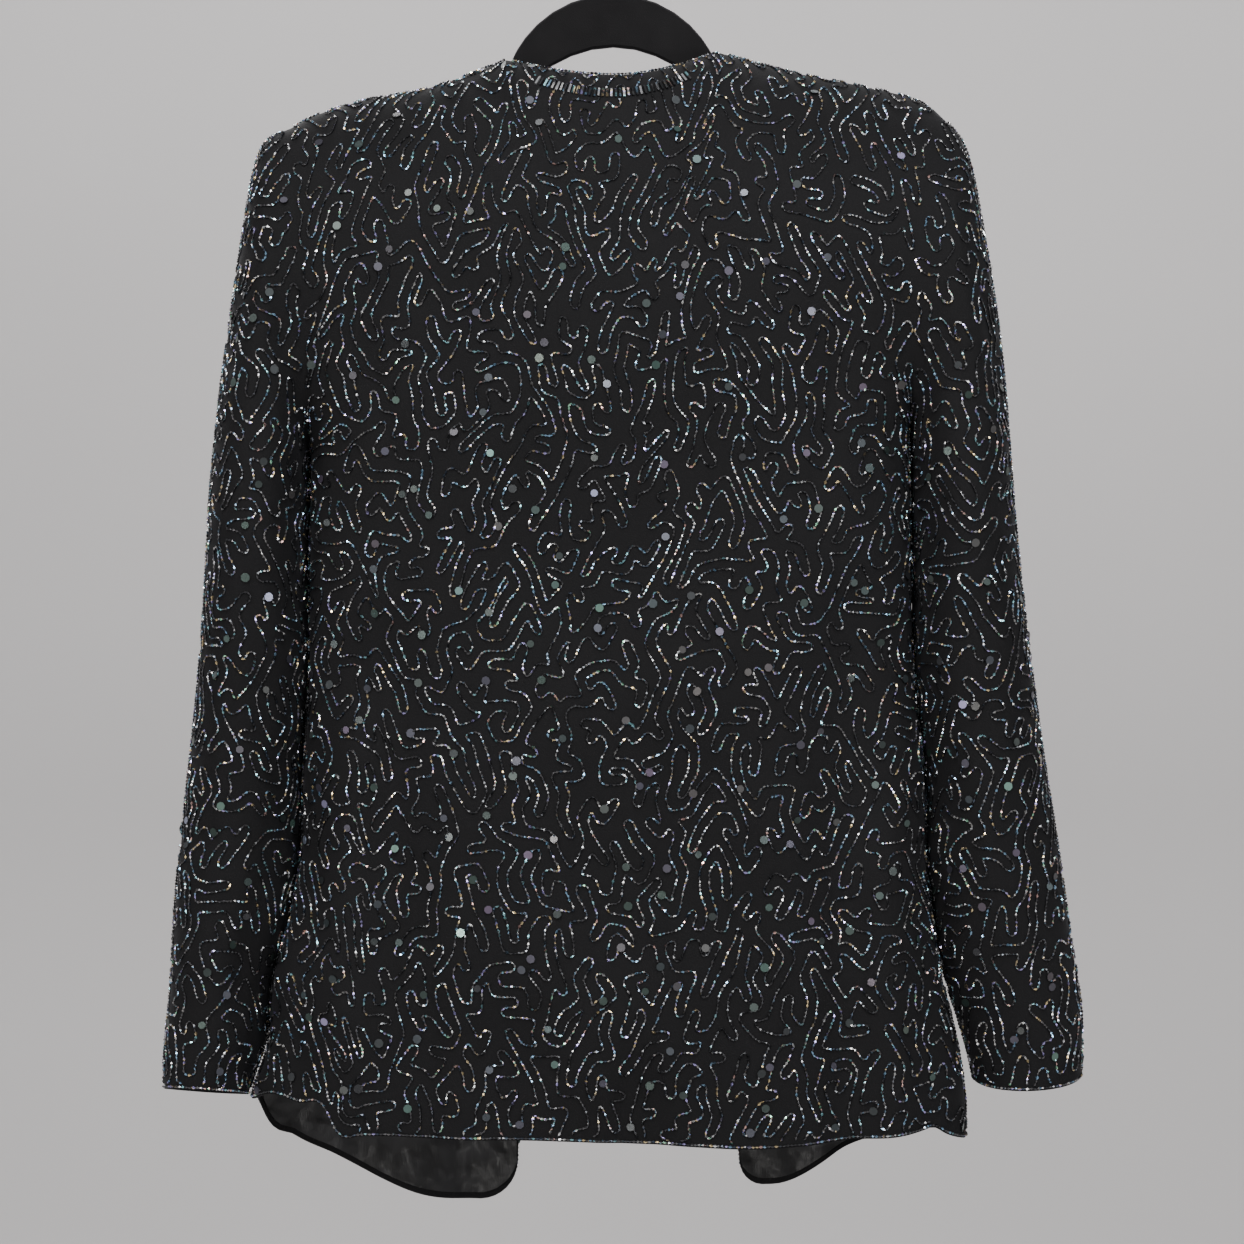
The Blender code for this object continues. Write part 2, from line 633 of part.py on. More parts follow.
def make_hanger(material):
    """Flat board with rounded edges, from one arm's tip to the other's."""
    arch = [ARCH_FOOT * math.sin(angle) for angle in np.linspace(0.0, math.pi / 2, 8)]
    stations = []
    for side in (RIGHT, LEFT):
        neck_x = SHOULDER[side]["x"][0]
        corner = next(x for x in np.arange(ARCH_FOOT, neck_x, 0.0001) if arch_gap(side * x) < 0)
        reaches = arch[1:] + [corner] + list(np.linspace(neck_x, HANGER_HALF_SPAN, 9))
        stations += [side * x for x in reaches]
    stations = sorted(stations + [0.0])
    half = HANGER_THICKNESS / 2
    bevel = half * 0.55
    rings = []
    for index, x in enumerate(stations):
        upper, lower = hanger_edges(x)
        if index in (0, len(stations) - 1):
            upper -= bevel
            lower += bevel
        section = (
            (half, lower + bevel),
            (half, upper - bevel),
            (half - bevel, upper),
            (bevel - half, upper),
            (-half, upper - bevel),
            (-half, lower + bevel),
            (bevel - half, lower),
            (half - bevel, lower),
        )
        rings.append([(x, y, z) for y, z in section])
    return ring_stack("hanger", rings, material)


def make_hook(material):
    """Bent wire that stands on the arch: a collar, a short shank, and a loop open to one side."""
    radius = HOOK_INNER_RADIUS + WIRE_RADIUS
    centre_z = -HOOK_INNER_RADIUS
    foot_z = ARCH_TOP_Z + SEAM_GAP
    shank_z = foot_z + COLLAR_HEIGHT
    angles = np.radians(np.linspace(HOOK_JOIN_ANGLE, HOOK_TIP_ANGLE, 26))
    loop = np.column_stack([radius * np.cos(angles), centre_z + radius * np.sin(angles)])
    start = np.array([0.0, shank_z + 0.001])
    rise = np.array([0.0, 0.008])
    pull = np.array([math.sin(angles[0]), -math.cos(angles[0])]) * 0.009
    u = np.linspace(0.0, 1.0, 7)[:-1, None]
    bend = (1 - u) ** 3 * start + 3 * u * (1 - u) ** 2 * (start + rise)
    bend = bend + 3 * u**2 * (1 - u) * (loop[0] + pull) + u**3 * loop[0]
    path = np.vstack([[0.0, foot_z], [0.0, shank_z], bend, loop])
    radii = np.full(len(path), WIRE_RADIUS)
    radii[:2] = COLLAR_RADIUS
    radii[-1] = WIRE_RADIUS * 0.6
    tangents = unit(np.gradient(path, axis=0))
    tangents[:2] = (0.0, 1.0)
    rings = []
    for (x, z), (tangent_x, tangent_z), size in zip(path, tangents, radii):
        ring = []
        for j in range(HOOK_SIDES):
            around = 2 * math.pi * j / HOOK_SIDES
            across = size * math.cos(around)
            ring.append((x + tangent_z * across, size * math.sin(around), z - tangent_x * across))
        rings.append(ring)
    return ring_stack("hanger_hook", rings, material)


def make_jacket(cloth, lining):
    """Back, fronts and sleeves, and the lining under each."""
    under = CLOTH + SEAM_GAP
    halves = {}
    for name, side in SIDES.items():
        panels = {half: body_grid(half, side) for half in (BACK, FRONT)}
        sleeve = sleeve_grid(side)
        armhole = Armhole(side, panels, sleeve)
        halves[side] = open_seams(BACK, panels[BACK], armhole)
        grid, normals = open_seams(FRONT, panels[FRONT], armhole)
        wall(f"front_{name}", grid, normals, 0.0, CLOTH, cloth)
        wall(f"front_{name}_lining", grid[1:, 1:], normals[1:, 1:], under, LINING, lining)
        normals = outward_sleeve(side, sleeve)
        normals[0] = armhole.sleeve
        sleeve[0] += armhole.gap * SEAM_GAP / 2
        wall(f"sleeve_{name}", sleeve, normals, 0.0, CLOTH, cloth, closed=True)
        wall(f"sleeve_{name}_lining", sleeve[:-1], normals[:-1], under, LINING, lining, closed=True)
    grid, normals = (
        np.concatenate([halves[RIGHT][i][:, :0:-1], halves[LEFT][i]], axis=1) for i in range(2)
    )
    wall("back", grid, normals, 0.0, CLOTH, cloth)
    wall("back_lining", grid[1:], normals[1:], under, LINING, lining)


def main():
    for thing in list(bpy.data.objects):
        bpy.data.objects.remove(thing, do_unlink=True)
    cloth = make_material("beaded cloth", (0.012, 0.012, 0.014), 0.55)
    lining = make_material("satin lining", (0.020, 0.021, 0.023), 0.35)
    velvet = make_material("velvet", (0.010, 0.010, 0.011), 0.95)
    steel = make_material("steel wire", (0.62, 0.62, 0.64), 0.25, 1.0)
    make_jacket(cloth, lining)
    make_hanger(velvet)
    make_hook(steel)


main()
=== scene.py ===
# %% [markdown]
# # A beaded evening jacket on a hanger
# This lesson dresses a jacket whose construction is already packed as a fixed frame. The frame holds every sewn
# piece at its real size, as a plain wall. Here each wall gets a finer shell with creases, and the beads,
# sequins and satin that make it an evening jacket. Lengths are in metres, +Z is up, the jacket's back faces
# +Y and the wearer's left is +X. The origin is the inner top of the hanger's hook.

# %% Load the frame
import json
import math
import random

import bpy
import numpy as np
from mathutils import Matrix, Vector, kdtree

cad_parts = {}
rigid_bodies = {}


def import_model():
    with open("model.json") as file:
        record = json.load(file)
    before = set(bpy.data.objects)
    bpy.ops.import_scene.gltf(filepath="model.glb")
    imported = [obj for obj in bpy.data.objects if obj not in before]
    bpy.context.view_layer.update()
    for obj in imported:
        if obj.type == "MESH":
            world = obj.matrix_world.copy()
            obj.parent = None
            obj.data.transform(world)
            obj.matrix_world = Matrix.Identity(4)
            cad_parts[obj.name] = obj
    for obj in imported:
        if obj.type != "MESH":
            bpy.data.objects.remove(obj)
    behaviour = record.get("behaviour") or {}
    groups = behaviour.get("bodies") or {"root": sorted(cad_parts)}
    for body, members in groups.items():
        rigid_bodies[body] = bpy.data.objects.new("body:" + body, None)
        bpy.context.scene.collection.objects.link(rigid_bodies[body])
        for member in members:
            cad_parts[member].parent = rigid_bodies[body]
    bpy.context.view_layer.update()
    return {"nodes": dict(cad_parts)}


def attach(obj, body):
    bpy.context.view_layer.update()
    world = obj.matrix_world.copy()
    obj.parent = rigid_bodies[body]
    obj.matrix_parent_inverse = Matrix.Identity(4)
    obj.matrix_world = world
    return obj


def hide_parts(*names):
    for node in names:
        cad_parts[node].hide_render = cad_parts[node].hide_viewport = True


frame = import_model()
print("nodes:", sorted(frame["nodes"]))

# %% [markdown]
# ## The form of the jacket
# A jacket's body is cut as a back and two fronts that meet at the sides and on the shoulders. The frame's
# solids come from one smooth surface, worked out row by row from the hem to the shoulders. The same short
# tables are used here, so a finer shell lies exactly where the plain wall is.

# %% Sizes of the body
BACK = 1
FRONT = -1
LEFT = 1
RIGHT = -1
SIDES = {"left": LEFT, "right": RIGHT}
CLOTH = 0.0012
LINING_START = 0.0018
LINING = 0.0008
HEM_BAND = 0.009
EDGE_BAND = 0.022
CUFF_BAND = 0.15

NECK_BACK_Y = 0.030
NECK_BACK_Z = -0.1045
NECK_SHARE = 0.3
SHOULDER = {
    LEFT: {
        "x": (0.0715, 0.1192, 0.1675, 0.2028, 0.2090),
        "z": (-0.0897, -0.1070, -0.1166, -0.1294, -0.1330),
    },
    RIGHT: {
        "x": (0.0695, 0.1220, 0.1670, 0.1998, 0.2090),
        "z": (-0.0844, -0.0981, -0.1072, -0.1164, -0.1215),
    },
}
ARMHOLE_DROP = 0.210
ARMHOLE_DEPTH = 0.055
MIDWAY_X = {(BACK, LEFT): 0.1965, (BACK, RIGHT): 0.1895, (FRONT, LEFT): 0.1880, (FRONT, RIGHT): 0.1850}
MIDWAY_CENTRE_Z = -0.2350
MIDWAY_DEPTH = {BACK: 0.0620, FRONT: 0.0580}
MIDWAY_EXPONENT = 2.6
UNDERARM_CENTRE_Z = -0.3400
print("shoulder seam to shoulder seam:", SHOULDER[LEFT]["x"][-1] + SHOULDER[RIGHT]["x"][-1])

# %% Plan of the skirt, hems and free edges
LEVELS = {
    "z": (-0.800, -0.765, -0.730, -0.690, -0.650, -0.610, -0.560, -0.500, -0.420, -0.330),
    "exponent": (2.8, 2.8, 2.8, 2.9, 3.0, 3.2, 3.2, 3.2, 3.2, 3.2),
}
HALF_WIDTH = {
    LEFT: (0.2375, 0.2355, 0.2245, 0.2215, 0.2110, 0.2030, 0.2015, 0.1978, 0.1972, 0.1960),
    RIGHT: (0.2295, 0.2290, 0.2240, 0.2145, 0.2080, 0.2030, 0.2025, 0.1957, 0.1935, 0.1920),
}
HALF_DEPTH = {
    BACK: (0.0590, 0.0600, 0.0625, 0.0640, 0.0630, 0.0610, 0.0600, 0.0600, 0.0610, 0.0620),
    FRONT: (0.0560, 0.0560, 0.0550, 0.0540, 0.0530, 0.0520, 0.0520, 0.0520, 0.0530, 0.0540),
}
HEM = {
    (BACK, LEFT): {
        "x": (0.0, 0.1147, 0.1595, 0.1745, 0.1835, 0.2001, 0.2209, 0.2355),
        "z": (-0.7838, -0.7820, -0.7809, -0.7795, -0.7632, -0.7620, -0.7580, -0.7650),
    },
    (BACK, RIGHT): {
        "x": (0.0, 0.0548, 0.0794, 0.1529, 0.1977, 0.2041, 0.2147, 0.2290),
        "z": (-0.7838, -0.7863, -0.7882, -0.7842, -0.7797, -0.7782, -0.7841, -0.7900),
    },
    (FRONT, LEFT): {
        "x": (0.0900, 0.1168, 0.1539, 0.1889, 0.2131, 0.2304, 0.2355),
        "z": (-0.8453, -0.8433, -0.8298, -0.8106, -0.7971, -0.7815, -0.7650),
    },
    (FRONT, RIGHT): {
        "x": (0.0980, 0.1140, 0.1255, 0.1390, 0.1551, 0.1900, 0.2290),
        "z": (-0.8350, -0.8338, -0.8298, -0.8217, -0.8083, -0.7960, -0.7900),
    },
}
CORNER_RADIUS = {LEFT: 0.026, RIGHT: 0.016}
HEM_REACH = 8.0
FRONT_EDGE = {
    LEFT: {"z": (-0.800, -0.650, -0.500, -0.340, -0.235), "x": (0.0663, 0.0600, 0.0540, 0.0500, 0.0490)},
    RIGHT: {"z": (-0.800, -0.650, -0.500, -0.340, -0.235), "x": (0.0858, 0.0740, 0.0630, 0.0540, 0.0500)},
}
print("levels of the side seam:", len(LEVELS["z"]))

# %% [markdown]
# ## Folds and creases
# Hung cloth falls in soft ridges and troughs. The largest ones are in the solids. Smaller creases are listed
# in a second table of the same kind. A cloth simulation could drape the cloth, but it would move the
# jacket off its solids, so each crease is a bell curve across its line, with soft ends.

# %% Folds that the solids have, and creases that only the looks have
FOLD_COLUMNS = ("x_top", "z_top", "x_low", "z_low", "width", "out")


def metres(rows):
    """Rows in millimetres as rows in metres."""
    return [[value / 1000 for value in row] for row in rows]


FOLDS = {
    BACK: metres((
        (-146, -400, -150, -850, 22, -6.5), (-108, -540, -112, -730, 22, 3.5), (-172, -560, -178, -850, 18, 5.5),
        (166, -480, 172, -850, 20, 5), (138, -430, 142, -850, 20, -5), (-10, -660, -72, -850, 24, 3.5),
        (60, -680, 50, -850, 26, -3),
    )),
    FRONT: metres((
        (125, -330, 135, -900, 24, -6), (92, -420, 98, -900, 20, 4), (-118, -340, -140, -900, 24, 6),
        (-150, -400, -165, -900, 22, -5),
    )),
}
FOLD_FADE = 0.070
CREASES = {
    BACK: metres((
        (-60, -200, -85, -420, 16, -1.6), (70, -190, 100, -380, 18, -1.8), (-152, -240, -120, -420, 10, -2),
        (162, -250, 128, -400, 11, -2.2), (-36, -400, -20, -640, 14, 1.4), (24, -430, 36, -720, 13, 1.5),
        (96, -520, 92, -820, 12, 2.2), (118, -600, 116, -820, 8, -1.6), (-78, -560, -92, -760, 11, -1.8),
        (-128, -620, -126, -830, 9, 2), (-192, -520, -202, -800, 9, -2.2), (188, -560, 206, -800, 10, -2),
        (-20, -700, -34, -830, 10, -1.8), (10, -690, 6, -830, 9, 1.6), (52, -160, 30, -260, 12, 1.2),
        (-48, -150, -30, -280, 13, 1.2),
    )),
    FRONT: metres((
        (160, -220, 150, -460, 12, -2), (75, -260, 78, -520, 12, 1.6), (112, -460, 116, -860, 9, 1.8),
        (152, -560, 166, -840, 11, 2.2), (186, -600, 200, -830, 9, -2), (-155, -230, -140, -420, 12, -2.2),
        (-88, -300, -92, -560, 13, 1.5), (-104, -520, -112, -850, 10, -2), (-180, -540, -192, -830, 10, 2),
        (-70, -240, -74, -400, 10, -1.2),
    )),
}
print("creases on the body:", sum(len(rows) for rows in CREASES.values()))

# %% Curves through short tables
def smooth(x, xs, ys):
    """Value at x of the smooth curve through the points of two short columns, xs rising."""
    xs = np.asarray(xs, float)
    ys = np.asarray(ys, float)
    steps = np.diff(xs)
    rises = np.diff(ys) / steps
    slopes = np.empty_like(ys)
    slopes[0] = rises[0]
    slopes[-1] = rises[-1]
    slopes[1:-1] = (rises[:-1] * steps[1:] + rises[1:] * steps[:-1]) / (steps[:-1] + steps[1:])
    x = np.clip(x, xs[0], xs[-1])
    k = np.clip(np.searchsorted(xs, x, side="right") - 1, 0, len(steps) - 1)
    h = steps[k]
    u = (x - xs[k]) / h
    value = ys[k] * (1 + 2 * u) * (1 - u) ** 2 + ys[k + 1] * u * u * (3 - 2 * u)
    return value + h * u * (1 - u) * (slopes[k] * (1 - u) - slopes[k + 1] * u)


def half_width(side, z):
    """Distance of the side seam from the middle, at height z."""
    return smooth(z, LEVELS["z"], HALF_WIDTH[side])


def resample(points, s):
    """Points at fractions s of a fine line's length."""
    lengths = np.linalg.norm(np.diff(points, axis=0), axis=1)
    at = np.concatenate([[0.0], np.cumsum(lengths)])
    at /= at[-1]
    return np.stack([np.interp(s, at, points[:, i]) for i in range(points.shape[1])], axis=1)


def plan_line(width, depth, exponent, x_start, x_end):
    """Fine line of x and y along a boxy oval, from x_start out to x_end."""
    start = math.acos(min(1.0, x_start / width) ** (exponent / 2))
    end = math.acos(min(1.0, x_end / width) ** (exponent / 2))
    angle = np.linspace(start, end, 240)
    x = width * np.abs(np.cos(angle)) ** (2 / exponent)
    y = depth * np.abs(np.sin(angle)) ** (2 / exponent)
    return np.stack([x, y], axis=1)


print("left side seam at waist height:", round(float(half_width(LEFT, -0.56)), 4))


# %% Rows of the body below the armholes
def inner_x(half, side, z):
    """Where a row starts: the middle of the back, or the free edge of a front."""
    if half == BACK:
        return 0.0
    return float(smooth(z, FRONT_EDGE[side]["z"], FRONT_EDGE[side]["x"]))


def level_line(half, side, z):
    """Fine line of the body's plan at one height below the armholes."""
    width = float(half_width(side, z))
    depth = float(smooth(z, LEVELS["z"], HALF_DEPTH[half]))
    exponent = float(smooth(z, LEVELS["z"], LEVELS["exponent"]))
    return plan_line(width, depth, exponent, inner_x(half, side, z), width)


def hem_row(half, side, s):
    """Points of the hem, from the middle or the front's rounded corner to the side seam."""
    table = HEM[half, side]
    side_z = table["z"][-1]
    line = level_line(half, side, side_z)
    if half == BACK:
        z = smooth(line[:, 0], table["x"], table["z"])
        return resample(np.column_stack([line, z]), s)
    edge = inner_x(half, side, side_z)
    radius = CORNER_RADIUS[side]
    turn = np.linspace(0.0, math.pi / 2, 24)[:-1]
    corner_x = edge + radius * (1 - np.cos(turn))
    corner_z = smooth(corner_x, table["x"], table["z"]) + radius * (1 - np.sin(turn))
    corner_y = np.interp(corner_x, line[:, 0], line[:, 1])
    line = line[line[:, 0] > edge + radius]
    z = smooth(line[:, 0], table["x"], table["z"])
    corner = np.column_stack([corner_x, corner_y, corner_z])
    return resample(np.vstack([corner, np.column_stack([line, z])]), s)


def underarm_z(side):
    """Height of the lowest point of an armhole."""
    return float(SHOULDER[side]["z"][-1]) - ARMHOLE_DROP


def underarm_row(half, side, s):
    """Row that ends under the arm."""
    z_end = underarm_z(side)
    row = resample(level_line(half, side, z_end), s)
    return np.column_stack([row, UNDERARM_CENTRE_Z + (z_end - UNDERARM_CENTRE_Z) * s**2])


print("hem of the back, middle:", hem_row(BACK, LEFT, np.array([0.0])).round(4).tolist())


# %% Rows of the body between the armholes, and the top edge
def midway_row(half, side, s):
    """Row that ends half way down the armhole."""
    z_end = float(SHOULDER[side]["z"][-1]) - ARMHOLE_DROP / 2
    end_x = MIDWAY_X[half, side]
    depth = MIDWAY_DEPTH[half]
    width = end_x / (1 - (ARMHOLE_DEPTH / depth) ** MIDWAY_EXPONENT) ** (1 / MIDWAY_EXPONENT)
    row = resample(plan_line(width, depth, MIDWAY_EXPONENT, inner_x(half, side, z_end), end_x), s)
    return np.column_stack([row, MIDWAY_CENTRE_Z + (z_end - MIDWAY_CENTRE_Z) * s**2])


def top_row(half, side, s):
    """Top edge: the back's neck and shoulder seam, or a front's shoulder seam."""
    table = SHOULDER[side]
    neck_x = table["x"][0]
    tip_x = table["x"][-1]
    if half == FRONT:
        x = neck_x + (tip_x - neck_x) * s
        return np.column_stack([x, np.zeros_like(s), smooth(x, table["x"], table["z"])])
    across = np.clip(s / NECK_SHARE, 0.0, 1.0) * math.pi / 2
    along = np.clip((s - NECK_SHARE) / (1 - NECK_SHARE), 0.0, 1.0)
    x = neck_x * np.sin(across) + (tip_x - neck_x) * along
    y = NECK_BACK_Y * np.cos(across)
    neck_z = NECK_BACK_Z + (table["z"][0] - NECK_BACK_Z) * np.sin(across) ** 2
    z = np.where(s < NECK_SHARE, neck_z, smooth(x, table["x"], table["z"]))
    return np.column_stack([x, y, z])


def armhole_x(half, side, angle):
    """Distance of the armhole seam from the middle. Angle 0 is the shoulder and half a turn the underarm."""
    tip_x = SHOULDER[side]["x"][-1]
    under_x = float(half_width(side, underarm_z(side)))
    cosine = np.cos(angle)
    end_x = np.where(cosine > 0, tip_x, under_x)
    return end_x + (MIDWAY_X[half, side] - end_x) * (1 - np.abs(cosine))


def crease_depth(rows, across, z):
    """How far the listed folds or creases move the cloth outwards. Across is x, or a sleeve's quarter turns."""
    out = np.zeros_like(across)
    for row in rows:
        fold = dict(zip(FOLD_COLUMNS, row))
        down = (fold["z_top"] - z) / (fold["z_top"] - fold["z_low"])
        middle = fold["x_top"] + (fold["x_low"] - fold["x_top"]) * down
        bell = np.exp(-(((across - middle) / fold["width"]) ** 2))
        start = np.clip((fold["z_top"] - z) / FOLD_FADE, 0.0, 1.0)
        end = np.clip((z - fold["z_low"]) / FOLD_FADE, 0.0, 1.0)
        out += fold["out"] * bell * start**2 * (3 - 2 * start) * end**2 * (3 - 2 * end)
    return out


def body_row(half, side, s, t, creased=1.0):
    """Points of one row of the body, from the middle to the side, at fractions s of its length.

    t is 0 at the hem, 1 under the arm, 2 half way up the armhole and 3 at the top edge.
    """
    if t <= 1:
        hem = hem_row(half, side, s)
        top = underarm_row(half, side, s)
        z = hem[:, 2] + (top[:, 2] - hem[:, 2]) * t
        side_z = hem[-1, 2] + (top[-1, 2] - hem[-1, 2]) * t
        row = resample(level_line(half, side, side_z), s)
        plain_hem = resample(level_line(half, side, HEM[half, side]["z"][-1]), s)
        row += (hem[:, :2] - plain_hem) * (1 - t) ** HEM_REACH
        points = np.column_stack([row, z])
    elif t <= 2:
        low = underarm_row(half, side, s)
        high = midway_row(half, side, s)
        turn = (t - 1) * math.pi / 2
        near_edge = s**4
        up = (t - 1) * (1 - near_edge) + (1 - math.cos(turn)) * near_edge
        outwards = (t - 1) * (1 - near_edge) + math.sin(turn) * near_edge
        points = low + (high - low) * np.column_stack([up, outwards, up])
    else:
        low = midway_row(half, side, s)
        high = top_row(half, side, s)
        turn = (3 - t) * math.pi / 2
        points = high + (low - high) * np.array([1 - math.cos(turn), math.sin(turn), 1 - math.cos(turn)])
    points[:, 0] *= side
    free = np.clip((1 - s) * 6, 0.0, 1.0) * min(1.0, max(0.0, 2.6 - t))
    x = points[:, 0]
    z = points[:, 2]
    points[:, 1] += (crease_depth(FOLDS[half], x, z) + creased * crease_depth(CREASES[half], x, z)) * free
    points[:, 1] *= half
    return points


print("neck, middle of the back:", body_row(BACK, LEFT, np.array([0.0]), 3.0).round(4).tolist())

# %% [markdown]
# ## Sleeves
# A sleeve is a tube that hangs from the armhole beside the body. Each ring runs from the silhouette's outer
# line to an inner line close to the side seam. Its creases are placed by quarter turns round the arm: 0 is
# the outer line, 1 the back, 2 the inner line and 3 the front.

# %% Rings and creases of the sleeves
SLEEVE_CLEAR = 0.0018
SLEEVE_LEAN_RINGS = 4.0
SLEEVE_RINGS = {
    LEFT: {
        "outer_x": (
            209, 222.5, 230.5, 235.5, 240.5, 248.5, 256, 262.3, 266, 271.4, 278.6, 283.9, 286.6, 288.4, 292, 292.4,
        ),
        "outer_z": (
            -133, -139.2, -150.5, -171, -203, -256, -312, -376, -442, -506.6, -571.9, -621.6, -660, -694.2, -734,
            -760.8,
        ),
        "inner_z": (-343, -346.5, -350, -354, -360, -370, -390, -427, -477, -527, -580, -627, -664, -697, -736, -764.1),
        "away": (0, 0, 0, 0, 0, 0, 0, 0, 0, 0, 0, 0, 0, 0, 2, 2),
        "depth": (55, 56.5, 58, 59.5, 61, 62, 62, 61, 58, 55, 51, 49, 47.5, 46.5, 45, 44),
        "tilt": (0, 0, 0, 0, 0, 0, 0, 0, 0, 0, 0, 0, 1, 3, 6, 9),
    },
    RIGHT: {
        "outer_x": (209, 220, 227.5, 233, 239.2, 246.8, 253, 257.5, 262.2, 270, 279.5, 289.5, 297.2, 303.5, 305.7, 305),
        "outer_z": (
            -121.5, -132.5, -143, -160, -193, -238, -286, -340, -398, -468, -538, -600, -653.6, -694.2, -723,
            -750.4,
        ),
        "inner_z": (
            -331.5, -335, -338.5, -342.5, -349, -359, -375, -406, -447, -500, -556, -611, -659, -697, -726, -754.5,
        ),
        "away": (0, 0, 0, 0, 0, 0, 0, 0, 0, 0, 0, 0, 0, 2, 4, 6),
        "depth": (55, 56, 57, 58, 59, 59.5, 59.5, 59, 57, 54, 50, 46, 43, 40, 37.5, 36),
        "tilt": (0, 0, 0, 0, 0, 0, 0, 0, 0, 0, 0, 0, 0, 0, -2, -3),
    },
}
SLEEVE_CREASES = {
    LEFT: (
        (1.3, -0.2, 0.8, -0.42, 0.22, -0.0026), (0.6, -0.18, 0.45, -0.33, 0.16, -0.002),
        (1, -0.38, 1.35, -0.56, 0.18, -0.0024), (0.7, -0.48, 0.95, -0.72, 0.2, 0.0022),
        (1.45, -0.56, 1.3, -0.74, 0.16, -0.0022), (3.1, -0.2, 3.4, -0.44, 0.22, -0.0024),
        (3.4, -0.44, 2.95, -0.64, 0.18, -0.0026), (2.8, -0.6, 3.05, -0.74, 0.18, 0.002),
    ),
    RIGHT: (
        (1.25, -0.19, 0.85, -0.4, 0.22, -0.0026), (0.55, -0.18, 0.5, -0.34, 0.16, -0.0022),
        (0.85, -0.4, 1.25, -0.59, 0.18, -0.0024), (1.3, -0.48, 1, -0.69, 0.18, 0.002),
        (0.6, -0.56, 0.75, -0.73, 0.16, -0.0022), (3.2, -0.21, 3.45, -0.42, 0.22, -0.0022),
        (3.3, -0.43, 2.9, -0.62, 0.2, -0.0024), (2.85, -0.56, 3.1, -0.72, 0.18, 0.0022),
    ),
}


def sleeve_ring(side, w, angle, creased=1.0):
    """Points of one ring of a sleeve. w counts rings from the armhole."""
    table = SLEEVE_RINGS[side].items()
    ring = {name: float(smooth(w, range(len(column)), column)) / 1000 for name, column in table}
    clear = SLEEVE_CLEAR * min(1.0, w) + ring["away"]
    outer = np.array([ring["outer_x"], ring["outer_z"]])
    inner = np.array([float(half_width(side, ring["inner_z"])) + clear, ring["inner_z"]])
    middle = (outer + inner) / 2
    reach = (outer - inner) / 2
    cosine = np.cos(angle)
    sine = np.sin(angle)
    tip_x = SHOULDER[side]["x"][-1]
    under_x = float(half_width(side, underarm_z(side)))
    seam_x = np.where(sine > 0, armhole_x(BACK, side, angle), armhole_x(FRONT, side, angle))
    lean = seam_x - (tip_x + under_x) / 2 - (tip_x - under_x) / 2 * cosine
    x = middle[0] + reach[0] * cosine + lean * max(0.0, 1 - w / SLEEVE_LEAN_RINGS) ** 2
    z = middle[1] + reach[1] * cosine + ring["tilt"] * sine
    quarter = (angle / (math.pi / 2)) % 4
    dent = creased * crease_depth(SLEEVE_CREASES[side], quarter, z) * min(1.0, w / 2)
    x = x + dent * cosine
    y = (ring["depth"] + dent) * sine
    return np.column_stack([side * x, y, z])


print("left cuff, outer line:", sleeve_ring(LEFT, 15, np.array([0.0])).round(4).tolist())

# %% [markdown]
# ## Shells of cloth
# A shell is a grid of points on the cloth's outer face, a second grid moved inwards along the normals, and a
# narrow rim between them. Building it by hand keeps its thickness true and its edges clean, where a Solidify
# modifier would have to guess at the corners.

# %% Grids and normals
def unit(vectors):
    """Vectors of length 1 in the same directions."""
    return vectors / np.maximum(np.linalg.norm(vectors, axis=-1, keepdims=True), 1e-12)


def row_values(skirt_rows, armhole_rows, start=0.0):
    """Values of t for the rows, from the hem to the top edge."""
    skirt = np.linspace(start, 1.0, skirt_rows)
    return np.concatenate([skirt, np.linspace(1.0, 3.0, armhole_rows)[1:]])


def body_grid(half, side, rows, s, creased=1.0):
    """Grid of one half panel, rows from the hem up and columns from the middle to the side."""
    return np.array([body_row(half, side, s, t, creased) for t in rows])


def body_normals(grid, half, side):
    """Outward normals of a half panel. Along the side and shoulder seams they stay square to Y."""
    normals = unit(np.cross(np.gradient(grid, axis=0), np.gradient(grid, axis=1))) * half * side
    edge = np.abs(grid[:, -1, 1]) < 1e-6
    normals[edge, -1, 1] = 0.0
    normals[-1, np.abs(grid[-1, :, 1]) < 1e-6, 1] = 0.0
    return unit(normals)


def sleeve_grid(side, ring_count, angle_count, last, creased=1.0):
    """Closed grid of a sleeve. Columns start at the inner line, and the last one repeats the first."""
    angles = np.linspace(-math.pi, math.pi, angle_count + 1)
    near = np.linspace(0.0, 4.0, ring_count // 4, endpoint=False)
    rings = np.concatenate([near, np.linspace(4.0, last, ring_count - len(near))])
    return np.array([sleeve_ring(side, w, angles, creased) for w in rings])


def sleeve_normals(grid):
    """Outward normals of a sleeve."""
    wide = np.concatenate([grid[:, -2:-1], grid, grid[:, 1:2]], axis=1)
    normals = unit(np.cross(np.gradient(wide, axis=0), np.gradient(wide, axis=1)))[:, 1:-1]
    centre = grid[:, :-1].mean(axis=1, keepdims=True)
    return normals * np.sign((normals * (grid - centre)).sum(-1, keepdims=True))


# %% One shell from a grid
def new_object(name, points, faces, look):
    """Smooth mesh object from an array of points and one of four-cornered faces."""
    mesh = bpy.data.meshes.new(name)
    mesh.vertices.add(len(points))
    mesh.vertices.foreach_set("co", np.ascontiguousarray(points, np.float32).ravel())
    mesh.loops.add(faces.size)
    mesh.loops.foreach_set("vertex_index", np.ascontiguousarray(faces, np.int32).ravel())
    mesh.polygons.add(len(faces))
    mesh.polygons.foreach_set("loop_start", np.arange(len(faces), dtype=np.int32) * faces.shape[1])
    mesh.update(calc_edges=True)
    mesh.validate()
    mesh.materials.append(look)
    thing = bpy.data.objects.new(name, mesh)
    bpy.context.collection.objects.link(thing)
    return thing


